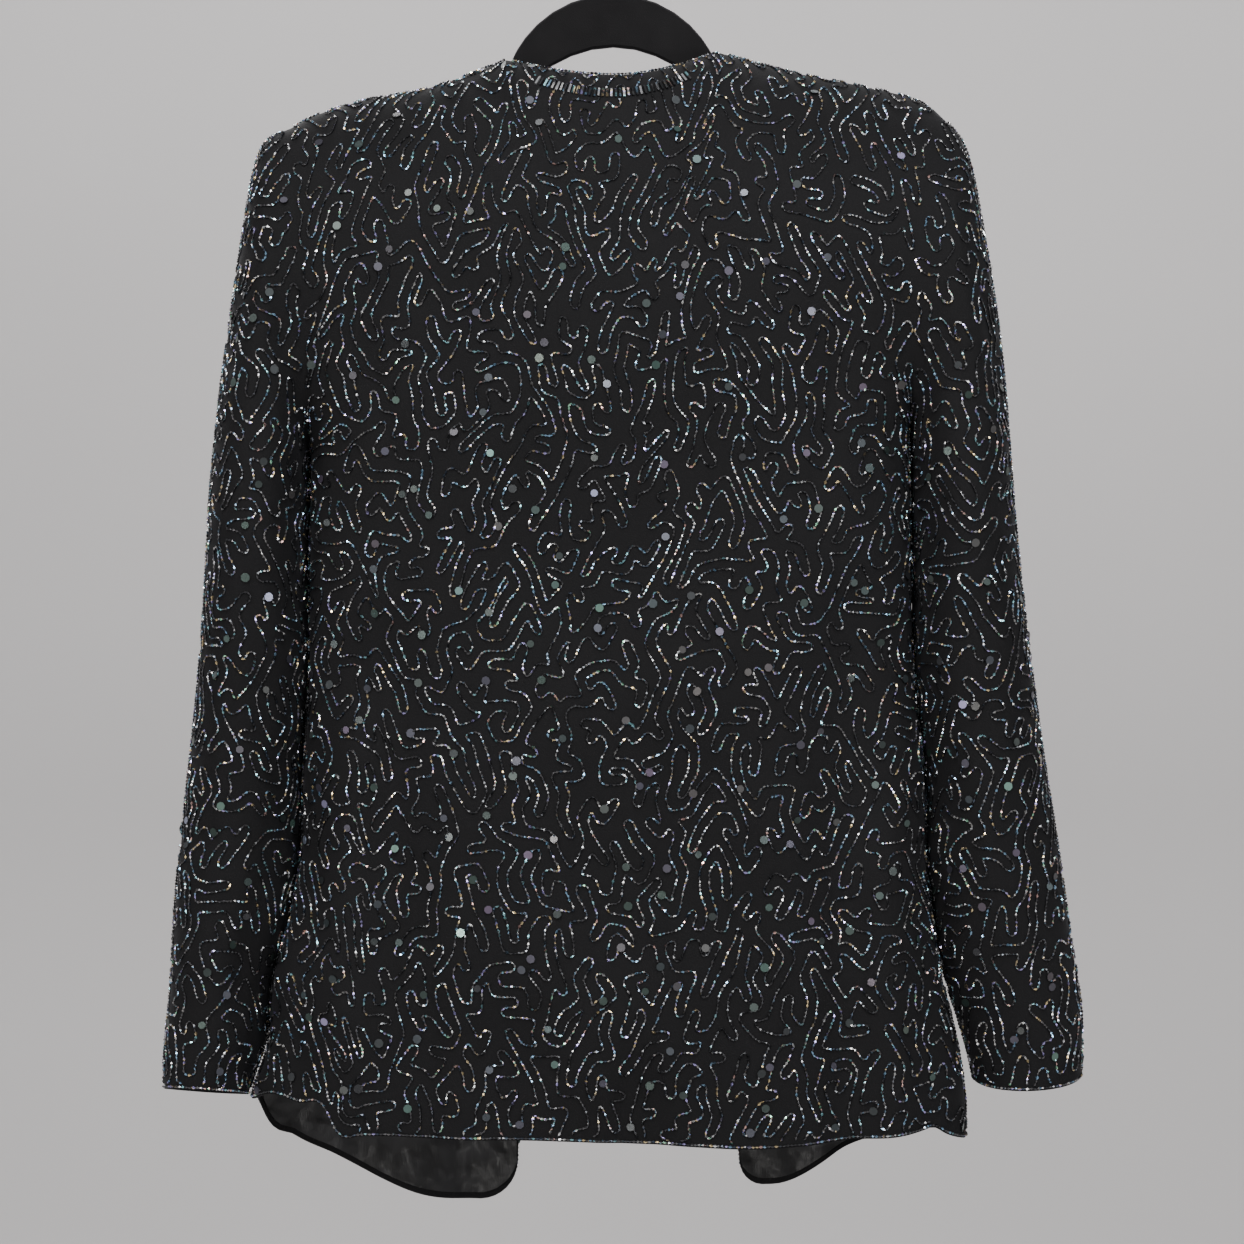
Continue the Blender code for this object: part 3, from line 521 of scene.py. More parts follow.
def shell(name, grid, normals, start, thickness, look, closed=False):
    """Closed shell of cloth from start to start + thickness under a grid."""
    if closed:
        grid = grid[:, :-1]
        normals = normals[:, :-1]
    rows, columns = grid.shape[:2]
    count = rows * columns
    index = np.arange(count).reshape(rows, columns)
    if closed:
        index = np.column_stack([index, index[:, 0]])
    corners = [index[:-1, :-1], index[:-1, 1:], index[1:, 1:], index[1:, :-1]]
    faces = np.stack([corner.ravel() for corner in corners], axis=1)
    loops = [index[0], index[-1, ::-1]]
    if not closed:
        loops += [index[:, -1], index[::-1, 0]]
    rim = [np.column_stack([run[1:], run[:-1], run[:-1] + count, run[1:] + count]) for run in loops]
    far_side = (grid - normals * (start + thickness)).reshape(-1, 3)
    points = np.vstack([(grid - normals * start).reshape(-1, 3), far_side])
    first = faces[len(faces) // 2]
    across = np.cross(points[first[1]] - points[first[0]], points[first[3]] - points[first[0]])
    outwards = normals.reshape(-1, 3)[first[0]]
    faces = np.vstack([faces, faces[:, ::-1] + count, *rim])
    if across @ outwards < 0:
        faces = faces[:, ::-1]
    thing = new_object(name, points, faces, look)
    thing.data.polygons.foreach_set("use_smooth", np.ones(len(faces), bool))
    thing.data.set_sharp_from_angle(angle=math.radians(50))
    return thing


print("a test of the grid:", body_grid(BACK, LEFT, row_values(4, 3), np.linspace(0, 1, 5)).shape)

# %% [markdown]
# ## How the shaders are written
# A finish is a tree of nodes. Shader maths reads best as plain expressions, so one small class wraps a socket:
# adding or multiplying two of them adds a Math node. Every other node comes from its one method, which takes
# the node's type, its settings and its sockets.

# %% A wrapper for sockets
class Wire:
    """One output socket of a node tree, or the tree alone, with arithmetic."""

    def __init__(self, tree, socket=None):
        self.tree = tree
        self.socket = socket

    def node(self, kind, settings=None, sockets=None, out=0):
        """Adds a node, sets its settings first, then its sockets' values or links, and gives one output."""
        made = self.tree.nodes.new(kind)
        for name, value in (settings or {}).items():
            if name == "stops":
                while len(made.color_ramp.elements) > 1:
                    made.color_ramp.elements.remove(made.color_ramp.elements[-1])
                made.color_ramp.elements[0].position = value[0][0]
                made.color_ramp.elements[0].color = (*value[0][1], 1.0)
                for position, colour in value[1:]:
                    made.color_ramp.elements.new(position).color = (*colour, 1.0)
            elif name == "ramp":
                made.color_ramp.interpolation = value
            else:
                setattr(made, name, value)
        for name, value in (sockets or {}).items():
            if isinstance(value, Wire):
                self.tree.links.new(value.socket, made.inputs[name])
            else:
                made.inputs[name].default_value = value
        return Wire(self.tree, made.outputs[out] if len(made.outputs) else None)

    def maths(self, operation, one, other):
        return self.node("ShaderNodeMath", {"operation": operation}, {0: one, 1: other})

    def __add__(self, other):
        return self.maths("ADD", self, other)

    def __mul__(self, other):
        return self.maths("MULTIPLY", self, other)

    def __sub__(self, other):
        return self.maths("SUBTRACT", self, other)

    def __rsub__(self, other):
        return self.maths("SUBTRACT", other, self)

    __radd__ = __add__
    __rmul__ = __mul__


def noise(tree, scale, detail, place=None):
    """Noise over the object's own place, or over a stretched one."""
    place = place or tree.node("ShaderNodeTexCoord", out=3)
    return tree.node("ShaderNodeTexNoise", sockets={"Vector": place, "Scale": scale, "Detail": detail})


def relief(tree, height, strength, distance):
    """Bumps by a height."""
    sockets = {"Height": height, "Strength": strength, "Distance": distance}
    return tree.node("ShaderNodeBump", sockets=sockets)


def mixed(tree, share, low, high):
    """Colour from low to high by share."""
    settings = {"data_type": "RGBA", "blend_type": "MIX"}
    return tree.node("ShaderNodeMix", settings, {0: share, 6: low, 7: high}, out=2)


def own_number(tree):
    """The number that the mesh keeps for each bead or sequin."""
    return tree.node("ShaderNodeAttribute", {"attribute_name": "bead"}, out=2)


def own_colour(tree, stops, ramp, number):
    return tree.node("ShaderNodeValToRGB", {"stops": stops, "ramp": ramp}, {"Fac": number})


def again(tree, number):
    """A second number out of the first, by chance."""
    return tree.node("ShaderNodeTexWhiteNoise", {"noise_dimensions": "1D"}, {"W": number})


def finish(name, work):
    """New material whose Principled shader has the sockets that a function works out on its tree."""
    material = bpy.data.materials.new(name)
    material.use_nodes = True
    material.node_tree.nodes.clear()
    tree = Wire(material.node_tree)
    surface = tree.node("ShaderNodeBsdfPrincipled", sockets=work(tree))
    tree.node("ShaderNodeOutputMaterial", sockets={"Surface": surface})
    print("finish:", name)
    return material


print("shader helpers are ready")

# %% [markdown]
# ## Finishes
# The ground is a dull black crepe, so little light comes back from it and the beads do the shining. Each bead
# is cut glass with a metal lustre. Its hue changes from bead to bead and from patch to patch, as an
# iridescent coating does, and that is taken from a number that the mesh keeps for each bead. The same
# number also paints glints: a few beads get a bright colour and most a dark one, and whole patches are
# painted dull as shade.

# %% Black crepe of the cloth
def crepe_sockets(tree):
    """Dull black cloth with a fine pebbled weave and slight wear."""
    weave = noise(tree, 900.0, 2.0)
    wear = noise(tree, 9.0, 3.0) * 0.9
    return {
        "Base Color": mixed(tree, wear, (0.0035, 0.0034, 0.0038, 1.0), (0.0090, 0.0087, 0.0096, 1.0)),
        "Roughness": 0.72 + weave * 0.2,
        "Specular IOR Level": 0.17,
        "Sheen Weight": 0.05,
        "Sheen Roughness": 0.4,
        "Sheen Tint": (0.55, 0.55, 0.62, 1.0),
        "Normal": relief(tree, weave, 0.45, 0.0006),
    }


CREPE = finish("beaded_crepe", crepe_sockets)

# %% Glass beads
# The stops give the coat's hues. Their split into a few bright beads among many dark ones is painted glint, standing in
# for the beads that catch a lamp.
BEAD_COAT_AND_GLINT_STOPS = (
    (0.00, (0.040, 0.041, 0.046)), (0.15, (0.090, 0.090, 0.094)), (0.25, (0.060, 0.080, 0.115)),
    (0.33, (0.360, 0.358, 0.352)), (0.39, (0.060, 0.060, 0.066)), (0.46, (0.250, 0.430, 0.610)),
    (0.51, (0.110, 0.108, 0.112)), (0.59, (0.300, 0.600, 0.650)), (0.63, (0.180, 0.175, 0.178)),
    (0.69, (0.430, 0.380, 0.740)), (0.73, (0.740, 0.580, 0.320)), (0.77, (0.070, 0.070, 0.076)),
    (0.84, (0.740, 0.450, 0.400)), (0.875, (0.310, 0.640, 0.430)), (0.905, (0.820, 0.830, 0.850)),
)

def bead_sockets(tree):
    """Cut glass with a coat that turns blue, green, gold and violet from bead to bead; bright and dark beads paint
    glints, and dull patches paint shade.
    """
    own = own_number(tree)
    coat_hue_and_glint = own * 0.66 + (noise(tree, 60.0, 1.0) - 0.5) * 1.0 + 0.17
    # Where this mask is low, the beads are mixed towards a dull dark grey: painted shade over patches that stand in for
    # cloth turned from the lamps.
    painted_glint_patches = (noise(tree, 38.0, 1.0) - 0.34) * 6.0
    colour = own_colour(tree, BEAD_COAT_AND_GLINT_STOPS, "CONSTANT", coat_hue_and_glint)
    return {
        "Base Color": mixed(tree, painted_glint_patches, (0.050, 0.051, 0.055, 1.0), colour),
        "Roughness": 0.11 + again(tree, own * 917.0) * 0.16,
        "Metallic": 0.85,
        "Coat Weight": 0.45,
        "Coat Roughness": 0.07,
    }


BEADS = finish("glass_beads", bead_sockets)

# %% Sequins
SEQUIN_STOPS = (
    (0.00, (0.040, 0.041, 0.046)), (0.30, (0.036, 0.058, 0.050)), (0.48, (0.070, 0.066, 0.092)),
    (0.62, (0.090, 0.088, 0.088)), (0.74, (0.060, 0.110, 0.096)), (0.84, (0.130, 0.100, 0.150)),
    (0.90, (0.080, 0.078, 0.070)), (0.95, (0.160, 0.300, 0.250)), (0.98, (0.330, 0.300, 0.480)),
)

def sequin_sockets(tree):
    """Thin film discs with a pearly grey, green or violet lustre."""
    own = own_number(tree)
    return {
        "Base Color": own_colour(tree, SEQUIN_STOPS, "LINEAR", own),
        "Roughness": 0.26 + again(tree, own * 611.0) * 0.2,
        "Metallic": 0.7,
        "Coat Weight": 0.3,
        "Coat Roughness": 0.15,
    }


SEQUINS = finish("sequin_film", sequin_sockets)

# %% [markdown]
# Satin has long floats of thread on its face, so its gloss is smooth and slightly streaked, and every soft
# wrinkle shows. Velvet is the opposite: its pile swallows light except at grazing angles, which is what the
# sheen socket is for. The hook is bright plated wire.

# %% Satin lining
def satin_sockets(tree):
    """Black satin whose gloss runs along fine vertical floats, softly crumpled, with painted gloss and shade on the
    crumples.
    """
    place = tree.node("ShaderNodeTexCoord", out=3)
    long = tree.node("ShaderNodeMapping", sockets={"Vector": place, "Scale": (1.0, 1.0, 0.07)})
    floats = noise(tree, 1500.0, 1.0, long)
    crumple = noise(tree, 46.0, 1.5, place)
    # The base colour follows the crumples: lighter on them as painted gloss, and darker between them as painted shade.
    painted_crumple_gloss = (crumple - 0.4) * 3.0
    return {
        "Base Color": mixed(tree, painted_crumple_gloss, (0.0014, 0.0015, 0.0018, 1.0), (0.0115, 0.0118, 0.0135, 1.0)),
        "Roughness": 0.28 + floats * 0.14,
        "Specular IOR Level": 0.4,
        "Normal": relief(tree, crumple + floats * 0.02, 0.8, 0.009),
    }


SATIN = finish("satin", satin_sockets)


# %% Velvet of the hanger, and the hook's steel
def velvet_sockets(tree):
    """Flocked velvet with a short uneven pile."""
    brushed = noise(tree, 45.0, 3.0)
    return {
        "Base Color": mixed(tree, brushed, (0.0045, 0.0042, 0.0046, 1.0), (0.0120, 0.0115, 0.0122, 1.0)),
        "Roughness": 0.9,
        "Specular IOR Level": 0.15,
        "Sheen Weight": 0.35,
        "Sheen Roughness": 0.35,
        "Sheen Tint": (0.6, 0.56, 0.62, 1.0),
        "Normal": relief(tree, noise(tree, 1600.0, 2.0), 0.6, 0.0004),
    }


def steel_sockets(tree):
    """Bright plated wire with faint drawing marks."""
    marks = noise(tree, 420.0, 3.0)
    colour = mixed(tree, marks, (0.56, 0.56, 0.58, 1.0), (0.72, 0.72, 0.74, 1.0))
    return {"Base Color": colour, "Roughness": 0.12 + marks * 0.16, "Metallic": 1.0}


HANGER_LOOKS = {"hanger": ("flocked_velvet", velvet_sockets), "hanger_hook": ("plated_wire", steel_sockets)}
for node, look in HANGER_LOOKS.items():
    frame["nodes"][node].material_slots[0].material = finish(*look)

# %% [markdown]
# ## The jacket's shells
# Every sewn piece gets its outer shell and its lining. The grids are kept, because the beads are laid on them.
# The lining has soft wrinkles of its own: satin is cut a little fuller than the cloth that it backs.

# %% Wrinkles of the lining
FADE_COLUMNS = 4.0
FADE_ROWS = 5.0
LINING_WRINKLES = {
    BACK: metres((
        (-150, -250, -135, -700, 10, 1.6), (-100, -420, -110, -830, 8, 1.8), (-45, -180, -60, -560, 9, 1.2),
        (-10, -360, 0, -800, 8, 1.6), (40, -200, 56, -620, 10, 1.4), (95, -380, 88, -830, 9, 1.8),
        (150, -260, 140, -640, 11, 1.6), (180, -480, 186, -800, 8, 1.4),
    )),
    FRONT: metres((
        (78, -500, 94, -900, 7, 2.2), (108, -600, 122, -900, 6, 1.8), (136, -420, 142, -900, 8, 2.4),
        (170, -560, 176, -900, 7, 2), (196, -620, 204, -860, 6, 1.8), (-100, -480, -112, -900, 7, 2),
        (-128, -600, -134, -900, 6, 1.8), (-160, -400, -172, -880, 8, 2.2), (-190, -560, -198, -860, 7, 1.8),
    )),
}


def wrinkled(grid, normals, half):
    """Lining grid whose points are drawn in along its wrinkles, least of all near its edges."""
    rows, columns = grid.shape[:2]
    side = np.minimum(np.arange(columns), np.arange(columns)[::-1]) / FADE_COLUMNS
    foot = np.arange(rows) / FADE_ROWS
    free = np.clip(side, 0, 1)[None, :] * np.clip(foot, 0, 1)[:, None]
    inward = crease_depth(LINING_WRINKLES[half], grid[..., 0], grid[..., 2]) * free
    return grid - normals * inward[..., None]


print("wrinkles:", sum(len(rows) for rows in LINING_WRINKLES.values()))

# %% Body pieces and their linings
ROWS = row_values(112, 56)
LINING_ROWS = row_values(76, 38, HEM_BAND)
HALF_S = np.linspace(0.0, 1.0, 60)
FRONT_S = np.linspace(0.0, 1.0, 48)
LINING_S = np.linspace(0.0, 1.0, 42)
PANELS = {}
CLOTHS = {}
LININGS = {}


def joined(right, left):
    """One grid from the two halves of the back, from the right side seam to the left."""
    return np.concatenate([right[:, :0:-1], left], axis=1)


def add_front(name, side):
    """One front, its lining, and its grid."""
    grid = body_grid(FRONT, side, ROWS, FRONT_S)
    normals = body_normals(grid, FRONT, side)
    PANELS[f"front_{name}"] = (grid, normals)
    CLOTHS[f"front_{name}"] = shell(f"front_{name}_cloth", grid, normals, 0.0, CLOTH, CREPE)
    s = EDGE_BAND + (1 - EDGE_BAND) * LINING_S
    grid = body_grid(FRONT, side, LINING_ROWS, s)
    normals = body_normals(grid, FRONT, side)
    grid = wrinkled(grid, normals, FRONT)
    LININGS[f"front_{name}"] = shell(f"front_{name}_satin", grid, normals, LINING_START, LINING, SATIN)


def add_back():
    """The back, its lining, and its grid."""
    halves = {side: body_grid(BACK, side, ROWS, HALF_S) for side in (RIGHT, LEFT)}
    normals = {side: body_normals(halves[side], BACK, side) for side in halves}
    PANELS["back"] = (joined(halves[RIGHT], halves[LEFT]), joined(normals[RIGHT], normals[LEFT]))
    CLOTHS["back"] = shell("back_cloth", *PANELS["back"], 0.0, CLOTH, CREPE)
    halves = {side: body_grid(BACK, side, LINING_ROWS, LINING_S) for side in (RIGHT, LEFT)}
    normals = {side: body_normals(halves[side], BACK, side) for side in halves}
    normals = joined(normals[RIGHT], normals[LEFT])
    grid = wrinkled(joined(halves[RIGHT], halves[LEFT]), normals, BACK)
    LININGS["back"] = shell("back_satin", grid, normals, LINING_START, LINING, SATIN)


add_back()
for name, side in SIDES.items():
    add_front(name, side)
print("body pieces:", sorted(CLOTHS))


# %% Sleeves and their linings
SLEEVE_GRID = (150, 72)
SLEEVE_LINING_GRID = (80, 48)


def add_sleeve(name, side):
    """One sleeve, its lining, and its grid."""
    last = len(SLEEVE_RINGS[side]["depth"]) - 1
    grid = sleeve_grid(side, *SLEEVE_GRID, last)
    normals = sleeve_normals(grid)
    PANELS[f"sleeve_{name}"] = (grid, normals)
    CLOTHS[f"sleeve_{name}"] = shell(f"sleeve_{name}_cloth", grid, normals, 0.0, CLOTH, CREPE, closed=True)
    grid = sleeve_grid(side, *SLEEVE_LINING_GRID, last - CUFF_BAND)
    normals = sleeve_normals(grid)
    satin = shell(f"sleeve_{name}_satin", grid, normals, LINING_START, LINING, SATIN, closed=True)
    LININGS[f"sleeve_{name}"] = satin


for name, side in SIDES.items():
    add_sleeve(name, side)
print("sleeves:", [name for name in CLOTHS if "sleeve" in name])

# %% [markdown]
# ## A sewn piece laid flat
# Beads are sewn while a piece still lies flat on a frame, so their lines are drawn in the flat piece's own
# metres and then carried to the hung cloth. Height is measured along the cloth from the hem or the cuff. On a
# sleeve that gives the tailor's real pattern: straight at the cuff, with a rounded head on top, because the
# cloth is longer along its outer line than under the arm.

# %% Places on a sewn piece
LEVEL_COUNT = 260


class Face:
    """Outer face of a sewn piece. A place on it is a height in metres and a share across from 0 to 1."""

    def __init__(self, grid, normals, tube):
        self.grid = grid
        self.normals = normals
        rows, columns = grid.shape[:2]
        steps = np.linalg.norm(np.diff(grid, axis=0), axis=2)
        up = np.vstack([np.zeros(columns), np.cumsum(steps, axis=0)])
        if not tube:
            up *= up[-1].mean() / up[-1]
        top = up[-1]
        self.heights = np.linspace(0.0, top.max() - (0.006 if tube else 1e-5), LEVEL_COUNT)
        self.rows = np.array([np.interp(self.heights, up[:, j], np.arange(rows)) for j in range(columns)]).T
        at = self.look_up(grid, self.rows, np.broadcast_to(np.arange(columns), self.rows.shape))
        above = np.maximum(top[1:], top[:-1]) - self.heights[:, None]
        self.parts = np.clip(above / np.maximum(np.abs(np.diff(top)), 1e-7), 0.0, 1.0)
        steps = np.linalg.norm(np.diff(at, axis=1), axis=2) * self.parts
        self.along = np.concatenate([np.zeros((LEVEL_COUNT, 1)), np.cumsum(steps, axis=1)], axis=1)
        self.widths = self.along[:, -1]

    @staticmethod
    def look_up(field, row, column):
        """Values of a table between its rows and columns."""
        row = np.clip(row, 0, field.shape[0] - 1.001)
        column = np.clip(column, 0, field.shape[1] - 1.001)
        i = row.astype(int)
        j = column.astype(int)
        a = (row - i).reshape(row.shape + (1,) * (field.ndim - 2))
        b = (column - j).reshape(row.shape + (1,) * (field.ndim - 2))
        low = field[i, j] * (1 - b) + field[i, j + 1] * b
        return low * (1 - a) + (field[i + 1, j] * (1 - b) + field[i + 1, j + 1] * b) * a

    def column(self, k, share):
        """Columns at shares across at one level. Its ends may lie between two columns."""
        cloth = np.flatnonzero(self.parts[k] > 0)
        columns = np.arange(cloth[0], cloth[-1] + 2).astype(float)
        columns[0] += 1 - self.parts[k, cloth[0]]
        columns[-1] -= 1 - self.parts[k, cloth[-1]]
        return np.interp(share * self.widths[k], self.along[k, cloth[0] : cloth[-1] + 2], columns)

    def place(self, high, share):
        """Points and normals at heights and shares."""
        level = np.clip(high / self.heights[-1], 0, 1) * (LEVEL_COUNT - 1.001)
        k = level.astype(int)
        column = np.zeros_like(level)
        for n in np.unique(k):
            here = k == n
            part = (level - k)[here]
            column[here] = self.column(n, share[here]) * (1 - part) + self.column(n + 1, share[here]) * part
        row = self.look_up(self.rows, level, column)
        return self.look_up(self.grid, row, column), unit(self.look_up(self.normals, row, column))


def spaced_beads(face, high, share, pitch):
    """Beads at equal steps along a line on the face: centres, directions along it, and normals."""
    points, _ = face.place(high, share)
    lengths = np.linalg.norm(np.diff(points, axis=0), axis=1)
    at = np.concatenate([[0.0], np.cumsum(lengths)])
    steps = np.arange(pitch / 2, at[-1], pitch)
    points, normals = face.place(np.interp(steps, at, high), np.interp(steps, at, share))
    return points, unit(np.gradient(points, axis=0)), normals


FACES = {}
for name, (grid, normals) in PANELS.items():
    tube = name.startswith("sleeve")
    FACES[name] = Face(grid[::-1], normals[::-1], tube) if tube else Face(grid, normals, tube)
    extent = (FACES[name].heights[-1], FACES[name].widths.max())
    print(name, "height and widest row in m:", [round(float(value), 3) for value in extent])

# %% [markdown]
# ## Bead lines
# Vermicelli beading fills a cloth with one thread of beads that wanders and turns but never crosses itself,
# always about the same distance from its neighbours. Drawing such a line by hand would take days. Walking round
# a random tree gives it at once: uneven rows of knots are joined into a tree without a loop, and a path that
# keeps close to the tree's left side passes both sides of every branch and comes back to its start.

# %% Knots and the branches that may join them
KNOT_STEP = 0.0141
ROW_STEP = 0.0125
OFF_BRANCH = 0.0032
ACROSS_COST = 2.4
NARROW = math.radians(52)
PATH_STEP = 0.0007
PATH_ROUNDS = 9


def knot_rows(face, rng):
    """Rows of knots on a face, as (metres from the piece's middle line, height)."""
    levels = max(2, round(face.heights[-1] / ROW_STEP))
    rows = []
    for r in range(levels):
        high = (r + 0.5) / levels * face.heights[-1]
        width = float(np.interp(high, face.heights, face.widths))
        count = max(2, round(width / KNOT_STEP))
        shift = 0.25 if r % 2 else -0.25
        row = []
        for c in range(count):
            across = ((c + 0.5 + shift + rng.uniform(-0.17, 0.17)) / count - 0.5) * width
            reach = width / 2 - OFF_BRANCH * 1.1
            up = high + rng.uniform(-0.2, 0.2) * ROW_STEP
            up = min(max(up, OFF_BRANCH * 1.3), face.heights[-1] - OFF_BRANCH * 1.3)
            row.append((min(max(across, -reach), reach), up))
        rows.append(row)
    return rows


def possible_branches(rows):
    """Knots as one list, and the pairs of neighbours in a row or between two rows, none crossing another."""
    first = np.cumsum([0] + [len(row) for row in rows])
    pairs = [(first[r] + c, first[r] + c + 1) for r, row in enumerate(rows) for c in range(len(row) - 1)]
    for r, (low, high) in enumerate(zip(rows, rows[1:])):
        i = 0
        j = 0
        while True:
            pairs.append((first[r] + i, first[r + 1] + j))
            if i == len(low) - 1 and j == len(high) - 1:
                break
            if j == len(high) - 1 or (i < len(low) - 1 and low[i + 1][0] < high[j + 1][0]):
                i += 1
            else:
                j += 1
    return [knot for row in rows for knot in row], pairs


def fork_is_narrow(knots, near, a, b):
    """Whether a branch from a to b would leave a narrow angle beside another branch at a."""
    way = math.atan2(knots[b][1] - knots[a][1], knots[b][0] - knots[a][0])
    for c in near[a]:
        other = math.atan2(knots[c][1] - knots[a][1], knots[c][0] - knots[a][0])
        if abs((way - other + math.pi) % (2 * math.pi) - math.pi) < NARROW:
            return True
    return False


def random_tree(knots, pairs, rng):
    """Neighbours of each knot in a tree that joins all knots, with upright branches more likely."""
    parent = list(range(len(knots)))

    def root(k):
        while parent[k] != k:
            parent[k] = parent[parent[k]]
            k = parent[k]
        return k

    weighted = []
    for a, b in pairs:
        length = math.dist(knots[a], knots[b])
        slant = abs(knots[a][0] - knots[b][0]) / length
        weighted.append((rng.random() * (1 + ACROSS_COST * slant * slant) * (length / KNOT_STEP) ** 2, a, b))
    near = {k: [] for k in parent}
    for strict in (True, False):
        for _, a, b in sorted(weighted):
            if root(a) == root(b):
                continue
            if strict and (fork_is_narrow(knots, near, a, b) or fork_is_narrow(knots, near, b, a)):
                continue
            parent[root(a)] = root(b)
            near[a].append(b)
            near[b].append(a)
    return near


SMALL = possible_branches([[(0.0, 0.0), (1.0, 0.0)], [(0.0, 1.0), (1.0, 1.0)]])
print("a small tree joins", len(random_tree(*SMALL, random.Random(1))), "knots")


# %% The path round the tree
def round_the_tree(knots, near, rng):
    """Closed rounded path that keeps the tree close on its right."""
    heading = {
        (a, b): math.atan2(knots[b][1] - knots[a][1], knots[b][0] - knots[a][0]) for a in near for b in near[a]
    }
    start = (0, near[0][0])
    a, b = start
    spots = []
    while True:
        way = heading[a, b]
        off = OFF_BRANCH * rng.uniform(0.86, 1.08)
        middle = rng.uniform(0.4, 0.6)
        x = knots[a][0] + (knots[b][0] - knots[a][0]) * middle - math.sin(way) * off
        z = knots[a][1] + (knots[b][1] - knots[a][1]) * middle + math.cos(way) * off
        spots.append((x, z))
        back = heading[b, a]
        turns = [((back - heading[b, c]) % (2 * math.pi) or 2 * math.pi, c) for c in near[b]]
        turn, c = min(turns)
        for part in ((0.27, 0.5, 0.73) if turn > 5.0 else (0.36, 0.64) if turn > 3.6 else (0.5,)):
            angle = back - turn * part
            reach = OFF_BRANCH / max(math.sin(min(turn, math.pi) / 2), 0.45) * rng.uniform(0.92, 1.1)
            spots.append((knots[b][0] + math.cos(angle) * reach, knots[b][1] + math.sin(angle) * reach))
        a, b = b, c
        if (a, b) == start:
            break
    spots = np.array(spots)
    for _ in range(3):
        after = np.roll(spots, -1, axis=0)
        spots = np.stack([spots * 0.75 + after * 0.25, spots * 0.25 + after * 0.75], axis=1).reshape(-1, 2)
    steps = np.linalg.norm(np.roll(spots, -1, axis=0) - spots, axis=1)
    at = np.concatenate([[0.0], np.cumsum(steps)])
    even = np.arange(0.0, at[-1], PATH_STEP)
    spots = np.column_stack([np.interp(even, at, np.append(spots[:, i], spots[0, i])) for i in (0, 1)])
    for _ in range(PATH_ROUNDS):
        spots = (np.roll(spots, 1, axis=0) + spots + np.roll(spots, -1, axis=0)) / 3
    return np.vstack([spots, spots[:1]])


def wandering_line(face, rng):
    """One closed line all over a face, as heights and shares across."""
    knots, pairs = possible_branches(knot_rows(face, rng))
    line = round_the_tree(knots, random_tree(knots, pairs, rng), rng)
    width = np.interp(line[:, 1], face.heights, face.widths)
    return line[:, 1], np.clip(line[:, 0] / width + 0.5, 0.004, 0.996)


print("branches run", OFF_BRANCH * 2000, "mm between the two runs of beads beside them")

# %% Mesh of many beads
BEAD_PITCH = 0.00245
BEAD_SIZE = (0.0033, 0.00195, 0.00185)
BUGLE_SIZE = (0.0064, 0.0019, 0.0018)
BEAD_LIFT = 0.00065
BEAD_CORNERS = np.array([(1, 0, 0), (-1, 0, 0), (0, 1, 0), (0, 0, 1), (0, -1, 0), (0, 0, -1)]) / 2
BEAD_FACES = np.array([(0, 2, 3), (0, 3, 4), (0, 4, 5), (0, 5, 2), (1, 3, 2), (1, 4, 3), (1, 5, 4), (1, 2, 5)])
BUGLE_SECTION = ((0, 0.5), (0.5, 0), (0, -0.5), (-0.5, 0))
BUGLE_CORNERS = np.array([(x, y, z) for x in (-0.5, 0.5) for y, z in BUGLE_SECTION])
BUGLE_FACES = np.array([(4, 5, 1, 0), (5, 6, 2, 1), (6, 7, 3, 2), (7, 4, 0, 3), (0, 1, 2, 3), (7, 6, 5, 4)])


def scattered_mesh(name, corners, faces, centres, along, normals, sizes, look, rng):
    """One mesh of many small closed shapes. Each keeps its own number and its own spot in a map."""
    count = len(centres)
    along = unit(along - normals * (along * normals).sum(-1, keepdims=True))
    aside = np.cross(normals, along)
    local = corners[None] * sizes[:, None]
    axes = enumerate((along, aside, normals))
    points = centres[:, None] + sum(local[..., i : i + 1] * axis[:, None] for i, axis in axes)
    all_faces = (faces[None] + (np.arange(count) * len(corners))[:, None, None]).reshape(-1, faces.shape[1])
    thing = new_object(name, points.reshape(-1, 3), all_faces, look)
    mesh = thing.data
    mesh.polygons.foreach_set("use_smooth", np.zeros(len(all_faces), bool))
    number = rng.random(count).astype(np.float32)
    mesh.attributes.new("bead", "FLOAT", "POINT").data.foreach_set("value", np.repeat(number, len(corners)))
    across = math.ceil(math.sqrt(count))
    spot = np.column_stack([np.arange(count) % across, np.arange(count) // across])
    corner = np.array([(0.25, 0.25), (0.75, 0.25), (0.75, 0.75), (0.25, 0.75)])[: faces.shape[1]]
    uv = (spot[:, None, None] + corner[None, None]) / across
    uv = np.broadcast_to(uv, (count, len(faces), faces.shape[1], 2)).astype(np.float32)
    mesh.uv_layers.new(name="OFBake").data.foreach_set("uv", uv.ravel())
    return thing


def turned(along, normals, angles):
    """Normals turned about the directions along the line."""
    aside = np.cross(along, normals)
    return normals * np.cos(angles)[:, None] + aside * np.sin(angles)[:, None]


print("faces of a bead:", len(BEAD_FACES))

# %% [markdown]
# The edges are finished with straight rows of beads: along the neck, the free edges of the fronts, the hem and
# the cuffs. Below the back of the neck lies a second row, of longer beads that stand upright side by side.

# %% Rows along the edges
EDGE_INSET = 0.0016
BUGLE_DROP = 0.0225
ROW_STEPS = np.linspace(0.0, 1.0, 400)


def edge_rows(name, face):
    """Lines of the straight bead rows on one piece, as heights and shares."""
    top = face.heights[-1]
    level = np.ones_like(ROW_STEPS)
    rows = [(EDGE_INSET * level, ROW_STEPS)]
    if name == "back":
        rows.append(((top - EDGE_INSET) * level, 0.35 + 0.30 * ROW_STEPS))
    elif name.startswith("front"):
        rows.append((EDGE_INSET + (top - 2 * EDGE_INSET) * ROW_STEPS, 0.008 * level))
    return rows


